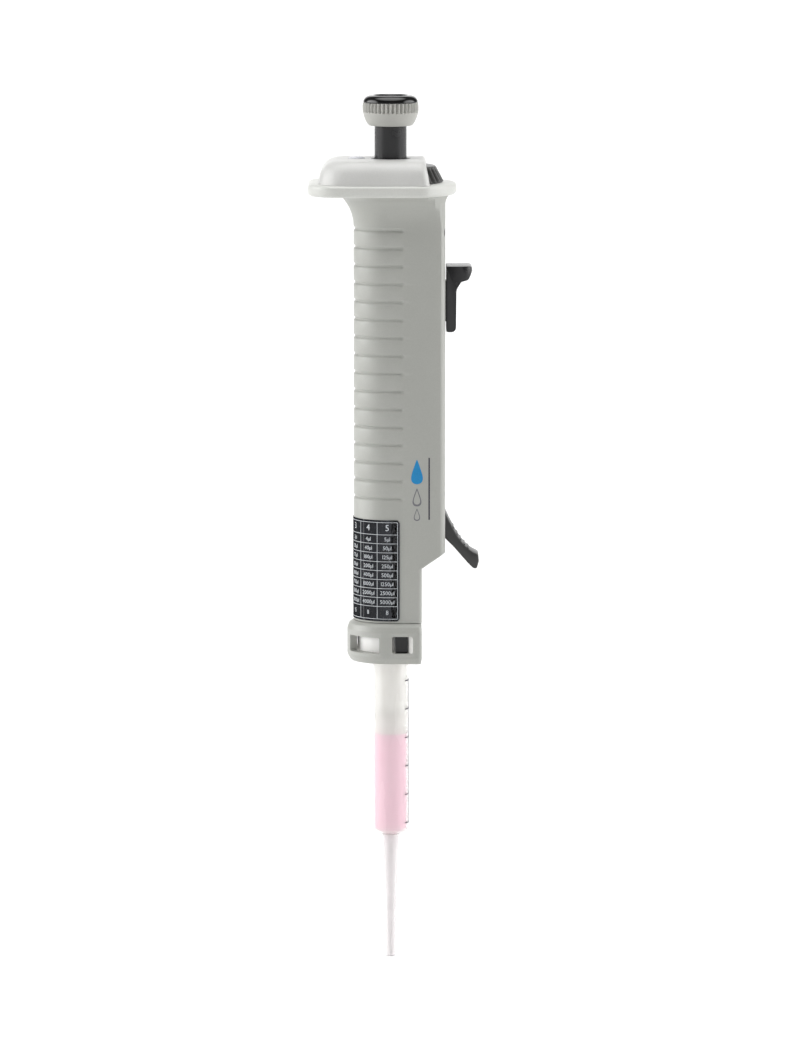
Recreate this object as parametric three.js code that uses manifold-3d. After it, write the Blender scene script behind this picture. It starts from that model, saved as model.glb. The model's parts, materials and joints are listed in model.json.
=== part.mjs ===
// A repeating dispenser pipette with its syringe tip fitted: a hand-held housing with a finger rest and
// a domed head, a push button that drives a ratchet rack, a stroke dial, a filling lever, and a clamp
// lever that unlocks the disposable tip. Millimetres, +Z up, +X the side with the levers, Y across.
// The origin is on the axis of button and tip, in the plane of the finger rest's underside.
import * as THREE from "three";
import { mergeVertices } from "three/addons/utils/BufferGeometryUtils.js";
import Module from "manifold-3d";

const wasm = await Module();
wasm.setup();

// ---------------------------------------------------------------- driving dimensions
const GAP = 0.3; // clearance between neighbours that are cut from each other
const SNUG = 0.05; // clearance between pieces that only lie face to face
const WALL = 1.8;

const BODY_R = 12.9; // round back of the housing, also its half width
const FRONT_X = 19.05; // front face of the upper housing
const SEAM_X = 17.35; // where the front cover meets the housing
const LOWER_FRONT_X = 10.95; // front face of the lower housing
const SLANT_TOP_Z = -124.7; // the slanted step between the two front faces
const SLANT_LOW_Z = -130.4;
const BODY_LOW_Z = -149.7;
const FLARE_LOW_Z = -12;
const BACK_STEPS = 20; // facets of the round back

const REST_THICK = 4.1; // finger rest plate, its underside at z = 0
const REST_BACK_X = -28.7;
const REST_FRONT_X = 23.0;
const REST_HALF_Y = 21.0;
const REST_CORNER_R = 11.6;
const REST_FRONT_R = 26.0;
const REST_EDGE = 1.2;

const DOME_TOP_Z = 12.4;
const DOME_BACK_X = -25.2;
const DOME_FRONT_X = 13.6;
const DOME_HALF_Y = 20.0;
const DOME_WALL = 1.1;

const DIAL_LOW_Z = 4.25;
const DIAL_TOP_Z = 9.9;
const DIAL_LOW_R = 18.45;
const DIAL_TOP_R = 15.65;
const DIAL_BORE_R = 6.4;
const DIAL_RIBS = 36;

const SHAFT_R = 5.6;
const BUTTON_LOW_Z = 23.8;
const BUTTON_SEAM_Z = 31.8;
const BUTTON_TOP_Z = 34.4;
const BUTTON_R = 9.75;
const BUTTON_FOOT_R = 7.7;
const BUTTON_RIBS = 40;
const BUTTON_TRAVEL = 8;

const MARK_PITCH = 10.14; // 1 ml of the tip
const MARK_ZERO_Z = -221.9;
const FULL_ML = 5;
const FILL_ML = 3.1; // what the tip holds as modelled
const SEAL_LOW_Z = MARK_ZERO_Z + FILL_ML * MARK_PITCH;
const STROKE_UP = (FULL_ML - FILL_ML) * MARK_PITCH;
const STROKE_DOWN = FILL_ML * MARK_PITCH;
const UNIT_STEP = MARK_PITCH / 10; // one tooth of the rack, the smallest dispensing step

const RING_R = 15.2; // tip socket ring at the foot of the housing
const RING_INNER_R = 12.6;
const RING_TOP_Z = BODY_LOW_Z - SNUG;
const RING_LOW_Z = -164.0;
const RING_FRONT_WALL = 2.8;

const BARREL_R = 6.3;
const BARREL_BORE_R = 5.6;
const BARREL_TOP_Z = -154.2;
const SHOULDER_Z = -224.3;
const NOZZLE_TOP_Z = -226.4;
const NOZZLE_END_Z = -270.0;
const NOZZLE_BORE_R = 0.75;

const RACK_BACK_X = 9.5; // crests of the rack's teeth
const RACK_FRONT_X = 13.6;
const RACK_TOP_Z = -24.4;
const RACK_LOW_Z = -94.6;
const RACK_HALF_Y = 3.0;
const TONGUE_HALF_Y = 4.6;

const PIVOT = { x: 15.0, z: -113.5 }; // clamp lever
const LEVER_HALF_Y = 6.0;
const FORK_INNER_Y = 3.6;
const LATCH_X = [1.6, 6.0];
const LATCH_PIVOT = { y: 10.0, z: -140.0 };

// ---------------------------------------------------------------- helpers
const bySize = (a, b) => [Math.min(a, b), Math.max(a, b)];
const rad = (degrees) => (degrees * Math.PI) / 180;
const at = (x, y) => new THREE.Vector2(x, y);

// Points on an arc, both ends included.
function arc(cx, cy, r, from, to, steps) {
  return Array.from({ length: steps + 1 }, (_, i) => {
    const a = rad(from + ((to - from) * i) / steps);
    return at(cx + r * Math.cos(a), cy + r * Math.sin(a));
  });
}

// A three.js geometry as a manifold solid, with its faces turned outwards.
function solid(geometry) {
  const bare = geometry.clone();
  bare.deleteAttribute("normal");
  bare.deleteAttribute("uv");
  const merged = mergeVertices(bare, 1e-4);
  const source = merged.index.array;
  const faces = [];
  for (let i = 0; i < source.length; i += 3) {
    const [a, b, c] = source.slice(i, i + 3);
    if (a !== b && b !== c && c !== a) faces.push(a, b, c);
  }
  const vertProperties = merged.attributes.position.array;
  const build = (list) => {
    const triVerts = new Uint32Array(list);
    return new wasm.Manifold(new wasm.Mesh({ numProp: 3, vertProperties, triVerts }));
  };
  const made = build(faces);
  return made.volume() < 0 ? build(faces.reverse()) : made;
}

// A manifold solid as a three.js geometry.
function geometryOf(body) {
  const data = body.getMesh();
  const positions = new Float32Array(data.numVert * 3);
  for (let i = 0; i < data.numVert; i++) {
    positions.set(data.vertProperties.subarray(i * data.numProp, i * data.numProp + 3), i * 3);
  }
  const geometry = new THREE.BufferGeometry();
  geometry.setAttribute("position", new THREE.BufferAttribute(positions, 3));
  geometry.setIndex(new THREE.BufferAttribute(new Uint32Array(data.triVerts), 1));
  geometry.computeVertexNormals();
  return geometry;
}

function extrude(points, depth) {
  return new THREE.ExtrudeGeometry(new THREE.Shape(points), { depth, bevelEnabled: false });
}

// A plan outline (x, y) standing from z0 up to z1.
const prism = (points, z0, z1) => solid(extrude(points, z1 - z0).translate(0, 0, z0));

// A side outline (x, z) reaching from y0 to y1.
const slab = (points, y0, y1) => solid(extrude(points, y1 - y0).rotateX(Math.PI / 2).translate(0, y1, 0));

// A cross outline (y, z) reaching from x0 to x1.
const bar = (points, x0, x1) =>
  solid(extrude(points, x1 - x0).rotateX(Math.PI / 2).rotateZ(Math.PI / 2).translate(x0, 0, 0));

function box(x0, x1, y0, y1, z0, z1) {
  const geometry = new THREE.BoxGeometry(x1 - x0, y1 - y0, z1 - z0);
  return solid(geometry.translate((x0 + x1) / 2, (y0 + y1) / 2, (z0 + z1) / 2));
}

// A profile of (radius, z) pairs turned about the Z axis.
function turned(profile, segments) {
  const points = profile.map(([r, z]) => at(r, z));
  return solid(new THREE.LatheGeometry(points, segments).rotateX(Math.PI / 2));
}

const disc = (r, z0, z1, segments = 32) => turned([[0, z0], [r, z0], [r, z1], [0, z1]], segments);
const ring = (r0, r1, z0, z1, segments = 32) =>
  turned([[r0, z0], [r1, z0], [r1, z1], [r0, z1], [r0, z0]], segments);

// A round bar along Y or X through (x, z) or (y, z).
function pinY(x, z, r, y0, y1, segments = 12) {
  return solid(new THREE.CylinderGeometry(r, r, y1 - y0, segments).translate(x, (y0 + y1) / 2, z));
}
function pinX(y, z, r, x0, x1, segments = 12) {
  const geometry = new THREE.CylinderGeometry(r, r, x1 - x0, segments).rotateZ(Math.PI / 2);
  return solid(geometry.translate((x0 + x1) / 2, y, z));
}

// A closed skin through plan outlines that have the same number of points, from the lowest to the highest.
function loft(sections) {
  const count = sections[0].points.length;
  const positions = sections.flatMap(({ z, points }) => points.flatMap((p) => [p.x, p.y, z]));
  const faces = [];
  for (let s = 0; s < sections.length - 1; s++) {
    for (let i = 0; i < count; i++) {
      const a = s * count + i;
      const b = s * count + ((i + 1) % count);
      faces.push(a, b, b + count, a, b + count, a + count);
    }
  }
  const last = (sections.length - 1) * count;
  for (const [a, b, c] of THREE.ShapeUtils.triangulateShape(sections[0].points, [])) faces.push(a, c, b);
  for (const [a, b, c] of THREE.ShapeUtils.triangulateShape(sections.at(-1).points, [])) {
    faces.push(last + a, last + b, last + c);
  }
  const geometry = new THREE.BufferGeometry();
  geometry.setAttribute("position", new THREE.BufferAttribute(new Float32Array(positions), 3));
  geometry.setIndex(faces);
  return solid(geometry);
}

class Helix extends THREE.Curve {
  constructor(radius, z0, z1, turns) {
    super();
    Object.assign(this, { radius, z0, z1, turns });
  }
  getPoint(t, target = new THREE.Vector3()) {
    const a = 2 * Math.PI * this.turns * t;
    const z = this.z0 + (this.z1 - this.z0) * t;
    return target.set(this.radius * Math.cos(a), this.radius * Math.sin(a), z);
  }
}

// A coil spring about the Z axis; the wire stays inside z0 to z1.
function coil(radius, wire, z0, z1, turns, stepsPerTurn = 10) {
  const section = new THREE.Shape(arc(0, 0, wire / 2, 0, 288, 4));
  const path = new Helix(radius, z0 + wire / 2, z1 - wire / 2, turns);
  return solid(new THREE.ExtrudeGeometry(section, { steps: turns * stepsPerTurn, extrudePath: path }));
}

// ---------------------------------------------------------------- plan outlines
// The housing's section: a half round back of radius r, flat sides, and a flat front with round corners.
function backRound(r, front, corner) {
  return [
    ...arc(front - corner, -r + corner, corner, -90, 0, 3),
    ...arc(front - corner, r - corner, corner, 0, 90, 3),
    ...arc(0, 0, r, 90, 270, BACK_STEPS),
  ];
}

// The finger rest, drawn in from its edge by inset: round back corners, straight sides, an arc in front.
function restOutline(inset) {
  const half = REST_HALF_Y - inset;
  const corner = REST_CORNER_R - inset;
  const back = REST_BACK_X + REST_CORNER_R;
  const r = REST_FRONT_R - inset;
  const cx = REST_FRONT_X - REST_FRONT_R;
  const meet = (Math.asin(half / r) * 180) / Math.PI;
  return [
    ...arc(cx, 0, r, -meet, meet, 14),
    ...arc(back, REST_HALF_Y - REST_CORNER_R, corner, 90, 180, 8),
    ...arc(back, -(REST_HALF_Y - REST_CORNER_R), corner, 180, 270, 8),
  ];
}

// The dome, drawn in by inset at the back and sides and by frontInset in front.
function domeOutline(inset, frontInset) {
  const half = DOME_HALF_Y - inset;
  const corner = 10.5 - 0.6 * inset;
  const back = DOME_BACK_X + inset + corner;
  const front = DOME_FRONT_X - frontInset;
  const small = 2.5;
  return [
    ...arc(front - small, -half + small, small, -90, 0, 3),
    ...arc(front - small, half - small, small, 0, 90, 3),
    ...arc(back, half - corner, corner, 90, 180, 8),
    ...arc(back, -half + corner, corner, 180, 270, 8),
  ];
}

// A toothed wheel outline: ribs of the given depth on radius r.
function ribbed(r, depth, ribs) {
  return Array.from({ length: 2 * ribs }, (_, i) => {
    const a = (Math.PI * i) / ribs;
    const here = i % 2 ? r - depth : r;
    return at(here * Math.cos(a), here * Math.sin(a));
  });
}

// ---------------------------------------------------------------- materials
function plastic(color, roughness = 0.45) {
  return new THREE.MeshStandardMaterial({ color, roughness, metalness: 0 });
}
const steel = new THREE.MeshStandardMaterial({ color: 0xb9bcc0, roughness: 0.3, metalness: 1 });
const brass = new THREE.MeshStandardMaterial({ color: 0xb8995a, roughness: 0.35, metalness: 1 });
const greyShell = plastic(0xd6d7d1);
const greyKnob = plastic(0xc9cac3);
const black = plastic(0x222322, 0.4);
const glossBlack = plastic(0x141414, 0.15);
const whitePart = plastic(0xecebe6, 0.5);
const label = plastic(0x161b24, 0.35);
const clear = new THREE.MeshStandardMaterial({ color: 0xe8ecec, roughness: 0.1, transparent: true, opacity: 0.5 });
const tipPlastic = new THREE.MeshStandardMaterial({
  color: 0xf1efee,
  roughness: 0.35,
  transparent: true,
  opacity: 0.45,
});
const pink = new THREE.MeshStandardMaterial({ color: 0xf0b7d0, roughness: 0.1, transparent: true, opacity: 0.8 });

const pipette = new THREE.Group();
function add(name, body, material) {
  const mesh = new THREE.Mesh(geometryOf(body), material);
  mesh.name = name;
  pipette.add(mesh);
}

// ---------------------------------------------------------------- housing
const COVER_TOP_Z = -2.4;
// The neck under the finger rest: height, then how far it has spread at the back and sides, and in front.
const FLARE = [
  [FLARE_LOW_Z, 0, 0],
  [-8.2, 0.4, 0],
  [-6.1, 1.0, 0],
  [-3.9, 2.05, 0],
  [COVER_TOP_Z, 3.0, 0],
  [-1.6, 3.7, 0.25],
  [-0.9, 4.8, 0.65],
  [-SNUG, 6.4, 1.7],
];
const STEP_SLOPE = (SLANT_TOP_Z - SLANT_LOW_Z) / (FRONT_X - LOWER_FRONT_X);
const slantAt = (x) => SLANT_LOW_Z + STEP_SLOPE * (x - LOWER_FRONT_X);
const FLOOR_RISE = 2.2; // the slanted wall's thickness measured upright

const HEAD_SCREW = { x: -2, y: 12.6 };
const SCREW_SPOTS = [
  ["upper_left", -9, -12.8],
  ["upper_right", 9, -12.8],
  ["lower_left", -9, -104],
  ["lower_right", 9, -104],
];

// Everything in front of and below the slanted step, as a cutter that starts rise above it.
function belowSlant(rise) {
  const left = LOWER_FRONT_X - (rise ? WALL : 0);
  const right = FRONT_X + 4;
  const low = BODY_LOW_Z - 10;
  const corners = [
    at(left, slantAt(left) + rise),
    at(left, low),
    at(right, low),
    at(right, slantAt(right) + rise),
  ];
  return slab(corners, -20, 20);
}

function leverSlot() {
  const half = LEVER_HALF_Y + 0.4;
  return box(13.2, FRONT_X + 2, -half, half, SLANT_LOW_Z - 3.6, PIVOT.z + 3.8);
}

// Keeps the front of an outline under the finger rest's curved edge, with a margin.
function underRest({ x, y }, margin = 0) {
  if (x <= 0) return at(x, y);
  const half = Math.sqrt((REST_FRONT_R - REST_EDGE) ** 2 - (x - REST_FRONT_X + REST_FRONT_R) ** 2) - margin;
  return at(x, THREE.MathUtils.clamp(y, -half, half));
}

// The neck's outside, which the housing and the front cover share.
function neck() {
  return loft(
    FLARE.map(([z, spread, reach]) => {
      const section = backRound(BODY_R + spread, FRONT_X + reach, 2.4 + 0.5 * spread);
      return { z, points: section.map((point) => underRest(point)) };
    }),
  );
}

function mainHousing() {
  const section = backRound(BODY_R, SEAM_X, 0.2);
  const upper = prism(section, SLANT_LOW_Z, FLARE_LOW_Z + 0.01).subtract(belowSlant(0));
  const lower = prism(backRound(BODY_R, LOWER_FRONT_X, 1.4), BODY_LOW_Z, SLANT_TOP_Z);
  const coverSpace = box(SEAM_X, FRONT_X + 3, -30, 30, FLARE_LOW_Z - 1, COVER_TOP_Z);
  const inner = BODY_R - WALL;
  const hollowUpper = prism(backRound(inner, FRONT_X + 3, 0.2), BODY_LOW_Z - 1, FLARE_LOW_Z);
  const hollowLower = prism(backRound(inner, LOWER_FRONT_X - WALL, 0.2), BODY_LOW_Z - 1, SLANT_TOP_Z);
  const hollowNeck = loft(
    FLARE.map(([z, spread], i) => {
      const section = backRound(inner + 0.7 * spread, SEAM_X + 0.2, 0.2 + 0.5 * spread);
      const beyond = i === 0 ? -0.01 : i === FLARE.length - 1 ? 0.5 : 0;
      return { z: z + beyond, points: section.map((point) => underRest(point, WALL)) };
    }),
  );
  const shell = upper
    .add(neck().subtract(coverSpace))
    .add(lower)
    .subtract(hollowUpper.subtract(belowSlant(FLOOR_RISE)))
    .subtract(hollowLower)
    .subtract(hollowNeck)
    .subtract(leverSlot());
  return housingBosses().reduce((made, [boss, hole]) => made.add(boss).subtract(hole), shell);
}

// The screw pillars, the clamp lever's pin bosses and the latches' hinge lugs, each with its hole.
function housingBosses() {
  const inWall = BODY_R - WALL + 0.4;
  const coverBosses = SCREW_SPOTS.map(([, y, z]) => {
    const [y0, y1] = bySize(Math.sign(y) * 7.2, Math.sign(y) * inWall);
    return [box(11.5, SEAM_X - SNUG, y0, y1, z - 2.2, z + 2.2), pinX(y, z, 1.1, 10, 20)];
  });
  const sided = [-1, 1].flatMap((side) => {
    const screwAxis = [HEAD_SCREW.x, side * HEAD_SCREW.y, 0];
    const headPillar = disc(2.0, -5.2, -SNUG, 20).translate(screwAxis).intersect(neck());
    const headHole = disc(1.0, -4.9, 1, 12).translate(screwAxis);
    const [p0, p1] = bySize(side * (LEVER_HALF_Y + 0.5), side * inWall);
    const [l0, l1] = bySize(side * (LATCH_PIVOT.y - 1.1), side * inWall);
    const { z } = LATCH_PIVOT;
    const lugs = LATCH_X.map((x, i) => (i ? [x + 0.3, x + 1.3] : [x - 1.3, x - 0.3]));
    return [
      [headPillar, headHole],
      [pinY(PIVOT.x, PIVOT.z, 2.2, p0, p1, 20), pinY(PIVOT.x, PIVOT.z, 1.25, -11.3, 11.3, 16)],
      ...lugs.map(([x0, x1]) => [
        box(x0, x1, l0, l1, z - 1.2, z + 1.2),
        pinX(side * LATCH_PIVOT.y, z, 0.55, x0 - 0.1, x1 + 0.1),
      ]),
    ];
  });
  return [...coverBosses, ...sided];
}

function frontCover() {
  const plain = prism(backRound(BODY_R, FRONT_X, 2.4), SLANT_LOW_Z, FLARE_LOW_Z + 0.01);
  const front = box(SEAM_X + SNUG, FRONT_X + 3, -30, 30, SLANT_LOW_Z - 1, COVER_TOP_Z - SNUG);
  const plate = plain.add(neck()).intersect(front).subtract(belowSlant(0));
  const fillSlot = box(SEAM_X - 1, FRONT_X + 1, -2.6, 2.6, -45.6 - STROKE_DOWN, -27.4 + STROKE_UP);
  const screwHoles = SCREW_SPOTS.map(([, y, z]) =>
    pinX(y, z, 1.3, SEAM_X - 1, FRONT_X + 1).add(pinX(y, z, 2.3, FRONT_X - 0.8, FRONT_X + 1, 20)),
  );
  const slotted = plate.subtract(fillSlot).subtract(leverSlot());
  return screwHoles.reduce((made, hole) => made.subtract(hole), slotted);
}
add("main_housing", mainHousing(), greyShell);
add("front_cover", frontCover(), greyShell);

for (const [where, y, z] of SCREW_SPOTS) {
  const head = pinX(y, z, 2.0, FRONT_X - 0.7, FRONT_X - 0.1, 16);
  const slot = box(FRONT_X - 0.35, FRONT_X + 1, y - 1.5, y + 1.5, z - 0.25, z + 0.25);
  add(`cover_screw_${where}`, head.add(pinX(y, z, 1.0, SEAM_X - 6, FRONT_X - 0.5)).subtract(slot), steel);
}

// The volume table: a thin sheet that wraps round the back of the lower housing.
const LABEL_EDGE_X = 3.2;
const LABEL_LOW_Z = -148.8;
const LABEL_TOP_Z = -113.2;
function volumeLabel() {
  const inner = BODY_R + SNUG;
  const outer = inner + 0.2;
  const sheet = [
    at(LABEL_EDGE_X, -outer),
    at(LABEL_EDGE_X, -inner),
    ...arc(0, 0, inner, 270, 90, BACK_STEPS),
    at(LABEL_EDGE_X, inner),
    at(LABEL_EDGE_X, outer),
    ...arc(0, 0, outer, 90, 270, BACK_STEPS),
  ];
  return prism(sheet, LABEL_LOW_Z, LABEL_TOP_Z);
}
add("volume_label", volumeLabel(), label);

// ---------------------------------------------------------------- tip socket ring
const RING_WELL_Z = -151.6;
// The ring's wall: height, then how far it has drawn in.
const RING_WALL = [
  [RING_LOW_Z, 1.6],
  [RING_LOW_Z + 0.6, 0.6],
  [RING_LOW_Z + 1.8, 0.05],
  [-152.9, 0],
  [-151.4, 0.35],
  [-150.4, 1.1],
  [RING_TOP_Z, 2.25],
];
function socketRing() {
  const outside = loft(
    RING_WALL.map(([z, inset]) => ({ z, points: backRound(RING_R - inset, LOWER_FRONT_X, 1.4) })),
  );
  const front = LOWER_FRONT_X - RING_FRONT_WALL;
  const well = prism(backRound(RING_INNER_R, front, 0.6), RING_LOW_Z - 1, RING_WELL_Z);
  const mouth = prism(backRound(BODY_R - WALL, front, 0.6), RING_WELL_Z - 0.4, RING_TOP_Z + 1);
  let made = outside.subtract(well).subtract(mouth);
  for (const side of [-1, 1]) {
    const wedge = [at(0, 0), ...arc(0, 0, 20, 180 - side * 21, 180 - side * 75, 6)];
    const backWindow = prism(wedge, -160.1, -154.6);
    const frame = [at(0.4, -159.9), at(8.0, -159.9), at(8.0, -154.2), at(0.4, -154.2)];
    const sideWindow = slab(frame, ...bySize(side * 13.5, side * 20));
    const [x0, x1] = [LATCH_X[0] - 0.4, LATCH_X[1] + 0.4];
    const pocketLow = box(x0, x1, ...bySize(side * 9, side * 14.5), -162.3, RING_WELL_Z - 1);
    const pocketTop = box(x0, x1, ...bySize(side * 9, side * 14.0), RING_WELL_Z - 2, RING_WELL_Z + 0.4);
    made = made.subtract(backWindow).subtract(sideWindow).subtract(pocketLow).subtract(pocketTop);
  }
  return made;
}
add("tip_socket_ring", socketRing(), greyShell);

// ---------------------------------------------------------------- head
function fingerRest() {
  const plate = loft([
    { z: 0, points: restOutline(REST_EDGE) },
    { z: 0.3 * REST_EDGE, points: restOutline(0.3 * REST_EDGE) },
    { z: REST_EDGE, points: restOutline(0) },
    { z: REST_THICK - REST_EDGE, points: restOutline(0) },
    { z: REST_THICK - 0.3 * REST_EDGE, points: restOutline(0.3 * REST_EDGE) },
    { z: REST_THICK, points: restOutline(REST_EDGE) },
  ]);
  const springPocket = box(-16, -8, -1.8, 1.8, 2.4, 6);
  const screwHoles = disc(1.3, -1, 5).add(disc(2.3, 2.9, 5, 20));
  return plate
    .subtract(disc(7.7, -1, 6))
    .subtract(springPocket)
    .subtract(screwHoles.translate([HEAD_SCREW.x, HEAD_SCREW.y, 0]))
    .subtract(screwHoles.translate([HEAD_SCREW.x, -HEAD_SCREW.y, 0]));
}
add("finger_rest", fingerRest(), greyShell);

for (const [side, y] of [["left", -HEAD_SCREW.y], ["right", HEAD_SCREW.y]]) {
  const slot = box(-1.5, 1.5, -0.25, 0.25, 3.5, 5);
  const screw = disc(2.0, 3.0, 3.8, 16).add(disc(0.9, -4.6, 3.1, 12)).subtract(slot);
  add(`head_screw_${side}`, screw.translate([HEAD_SCREW.x, y, 0]), steel);
}

// The dome's wall: height, then how far the back and sides and the front have drawn in.
const DOME = [
  [REST_THICK + SNUG, 0, 0],
  [7.0, 0.8, 0.55],
  [9.2, 1.7, 1.0],
  [10.6, 2.8, 1.3],
  [11.6, 4.1, 1.5],
  [12.2, 5.4, 1.8],
  [DOME_TOP_Z, 6.6, 2.6],
];
const LENS = { x: -11.8, r: 2.9 };

// The room that the dial turns in.
function dialSpace() {
  const low = DIAL_LOW_Z - 0.2;
  const top = DIAL_TOP_Z + GAP;
  return turned([[0, low], [DIAL_LOW_R + 0.4, low], [DIAL_TOP_R + 0.4, top], [0, top]], 48);
}

function headCover() {
  const outside = loft(DOME.map(([z, back, front]) => ({ z, points: domeOutline(back, front) })));
  const inside = loft(
    DOME.slice(0, 5).map(([z, back, front], i) => ({
      z: i === 0 ? z - 1 : Math.min(z, DOME_TOP_Z - 1.4),
      points: domeOutline(back + DOME_WALL, front + DOME_WALL),
    })),
  );
  return outside
    .subtract(inside)
    .subtract(dialSpace())
    .subtract(disc(7.1, 5, 14))
    .subtract(disc(LENS.r + 0.1, 5, 14).translate([LENS.x, 0, 0]));
}
add("head_cover", headCover(), greyShell);

add("button_bushing", ring(SHAFT_R + 0.15, 7.0, DIAL_TOP_Z + GAP, DOME_TOP_Z + 0.1), black);

const lensProfile = [
  [0, 11.2],
  [LENS.r, 11.2],
  [LENS.r, 12.5],
  [LENS.r * 0.8, 12.85],
  [LENS.r * 0.4, 13.05],
  [0, 13.1],
];
add("dial_window", turned(lensProfile, 24).translate([LENS.x, 0, 0]), clear);

// ---------------------------------------------------------------- stroke dial
const SKIRT_LOW_Z = -15.6;
const MASK_STEPS = 5;
const MASK_LOW_Z = -47.4;

function strokeDial() {
  const cone = loft([
    { z: DIAL_LOW_Z, points: ribbed(DIAL_LOW_R, 0.55, DIAL_RIBS) },
    { z: DIAL_TOP_Z - 0.4, points: ribbed(DIAL_TOP_R + 0.2, 0.5, DIAL_RIBS) },
    { z: DIAL_TOP_Z, points: ribbed(DIAL_TOP_R - 0.3, 0.2, DIAL_RIBS) },
  ]);
  return cone.subtract(disc(DIAL_BORE_R, 0, 20));
}
add("stroke_dial", strokeDial(), black);

// The mask hangs from the dial round the drive rod. Its lower edge has one step for each dial setting,
// and the pawl can only swing into the rack once its tail has passed that edge: one tooth before the end
// of the button's travel on the first setting, two on the second, and so on.
function stepMask() {
  const body = turned(
    [
      [6.3, DIAL_LOW_Z - SNUG],
      [6.3, SKIRT_LOW_Z + 1.5],
      [3.0, SKIRT_LOW_Z + 1.5],
      [3.0, MASK_LOW_Z],
      [3.9, MASK_LOW_Z],
      [3.9, SKIRT_LOW_Z],
      [7.2, SKIRT_LOW_Z],
      [7.2, DIAL_LOW_Z - SNUG],
      [6.3, DIAL_LOW_Z - SNUG],
    ],
    28,
  );
  const span = 360 / MASK_STEPS;
  return Array.from({ length: MASK_STEPS - 1 }, (_, i) => i + 1).reduce((made, step) => {
    const wedge = [at(0, 0), ...arc(0, 0, 5, -span * (step + 0.5), -span * (step - 0.5), 6)];
    return made.subtract(prism(wedge, MASK_LOW_Z - 1, MASK_LOW_Z + step * UNIT_STEP));
  }, body);
}
add("step_mask", stepMask(), whitePart);

// A bowed leaf in a pocket of the finger rest that clicks under the dial.
function detentSpring() {
  const top = arc(-12, -2.5, 6.6, 62, 118, 8);
  const low = arc(-12, -2.5, 6.2, 118, 62, 8);
  return slab([...top, ...low], -1.4, 1.4);
}
add("dial_detent_spring", detentSpring(), steel);

// ---------------------------------------------------------------- push button
function buttonCollar() {
  const cup = turned(
    [
      [0, BUTTON_LOW_Z],
      [BUTTON_FOOT_R - 0.6, BUTTON_LOW_Z],
      [BUTTON_FOOT_R, BUTTON_LOW_Z + 0.4],
      [8.4, 24.7],
      [9.3, 26.9],
      [BUTTON_R - 0.25, 28.4],
      [BUTTON_R - 0.35, BUTTON_SEAM_Z],
      [0, BUTTON_SEAM_Z],
    ],
    24,
  );
  const ribs = prism(ribbed(BUTTON_R, 0.45, BUTTON_RIBS), 28.6, BUTTON_SEAM_Z);
  return cup.add(ribs).subtract(disc(SHAFT_R + SNUG, BUTTON_LOW_Z - 1, 30.2));
}
add("button_collar", buttonCollar(), greyKnob);

const capProfile = [
  [0, BUTTON_SEAM_Z + SNUG],
  [BUTTON_R - 0.2, BUTTON_SEAM_Z + SNUG],
  [BUTTON_R - 0.6, 33.0],
  [8.4, 34.0],
  [7.2, BUTTON_TOP_Z],
  [6.3, BUTTON_TOP_Z - 0.15],
  [3.6, BUTTON_TOP_Z - 0.9],
  [0, BUTTON_TOP_Z - 1.2],
];
add("button_cap", turned(capProfile, 32), glossBlack);

const SHAFT_BORE_R = 4.5;
add("button_shaft", ring(SHAFT_BORE_R, SHAFT_R, 0.5, 30), black);

const ROD_R = 2.2;
const CARRIER_TOP_Z = -48;
const ROD_HEAD_R = SHAFT_BORE_R - SNUG;
const ROD_LOW_Z = CARRIER_TOP_Z + SNUG;
const driveRod = turned(
  [[0, ROD_LOW_Z], [ROD_R, ROD_LOW_Z], [ROD_R, 14], [ROD_HEAD_R, 15], [ROD_HEAD_R, 19], [0, 19]],
  20,
);
add("drive_rod", driveRod, steel);
add("return_spring", coil(4.9, 0.8, SKIRT_LOW_Z + 1.6, 0.4, 5), steel);

// ---------------------------------------------------------------- pawl and its carrier
const PAWL_PIVOT = { x: 4.6, z: -52 };
const PAWL_HALF_Y = 1.5;

function pawlCarrier() {
  const block = box(-3.2, 6.4, -3.1, 3.1, -60, CARRIER_TOP_Z);
  const pawlSpace = box(2.4, 8, -PAWL_HALF_Y - 0.3, PAWL_HALF_Y + 0.3, -62, -40);
  return block.subtract(pawlSpace).subtract(pinY(PAWL_PIVOT.x, PAWL_PIVOT.z, 0.85, -4, 4));
}
add("pawl_carrier", pawlCarrier(), whitePart);
add("pawl_pin", pinY(PAWL_PIVOT.x, PAWL_PIVOT.z, 0.75, -3.1, 3.1), steel);

function drivePawl() {
  const tailZ = MASK_LOW_Z + BUTTON_TRAVEL - UNIT_STEP;
  const side = [
    at(4.5, tailZ),
    at(5.9, tailZ),
    at(6.3, -51),
    at(6.6, -55),
    at(8.9, -57.6),
    at(8.9, -58.4),
    at(6.6, -58.9),
    at(4.2, -57),
    at(3.3, -53.6),
    at(3.3, -50.4),
    at(4.5, -49),
  ];
  return slab(side, -PAWL_HALF_Y, PAWL_HALF_Y).subtract(pinY(PAWL_PIVOT.x, PAWL_PIVOT.z, 0.85, -4, 4));
}
add("drive_pawl", drivePawl(), steel);

// ---------------------------------------------------------------- chassis inside the housing
const RAIL_Y = [3.35, 7.4];
const RAIL_TOP_Z = -17.5;
const RAIL_LOW_Z = -98.3;

function guideRail(side) {
  const outline = [
    at(9.2, RAIL_Y[0]),
    at(11.0, RAIL_Y[0]),
    at(11.0, TONGUE_HALF_Y + 0.25),
    at(13.2, TONGUE_HALF_Y + 0.25),
    at(13.2, RAIL_Y[0]),
    at(15.9, RAIL_Y[0]),
    at(15.9, RAIL_Y[1]),
    at(9.2, RAIL_Y[1]),
  ];
  return prism(outline.map((p) => at(p.x, side * p.y)), RAIL_LOW_Z, RAIL_TOP_Z);
}
add("guide_rail_left", guideRail(-1), whitePart);
add("guide_rail_right", guideRail(1), whitePart);

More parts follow.
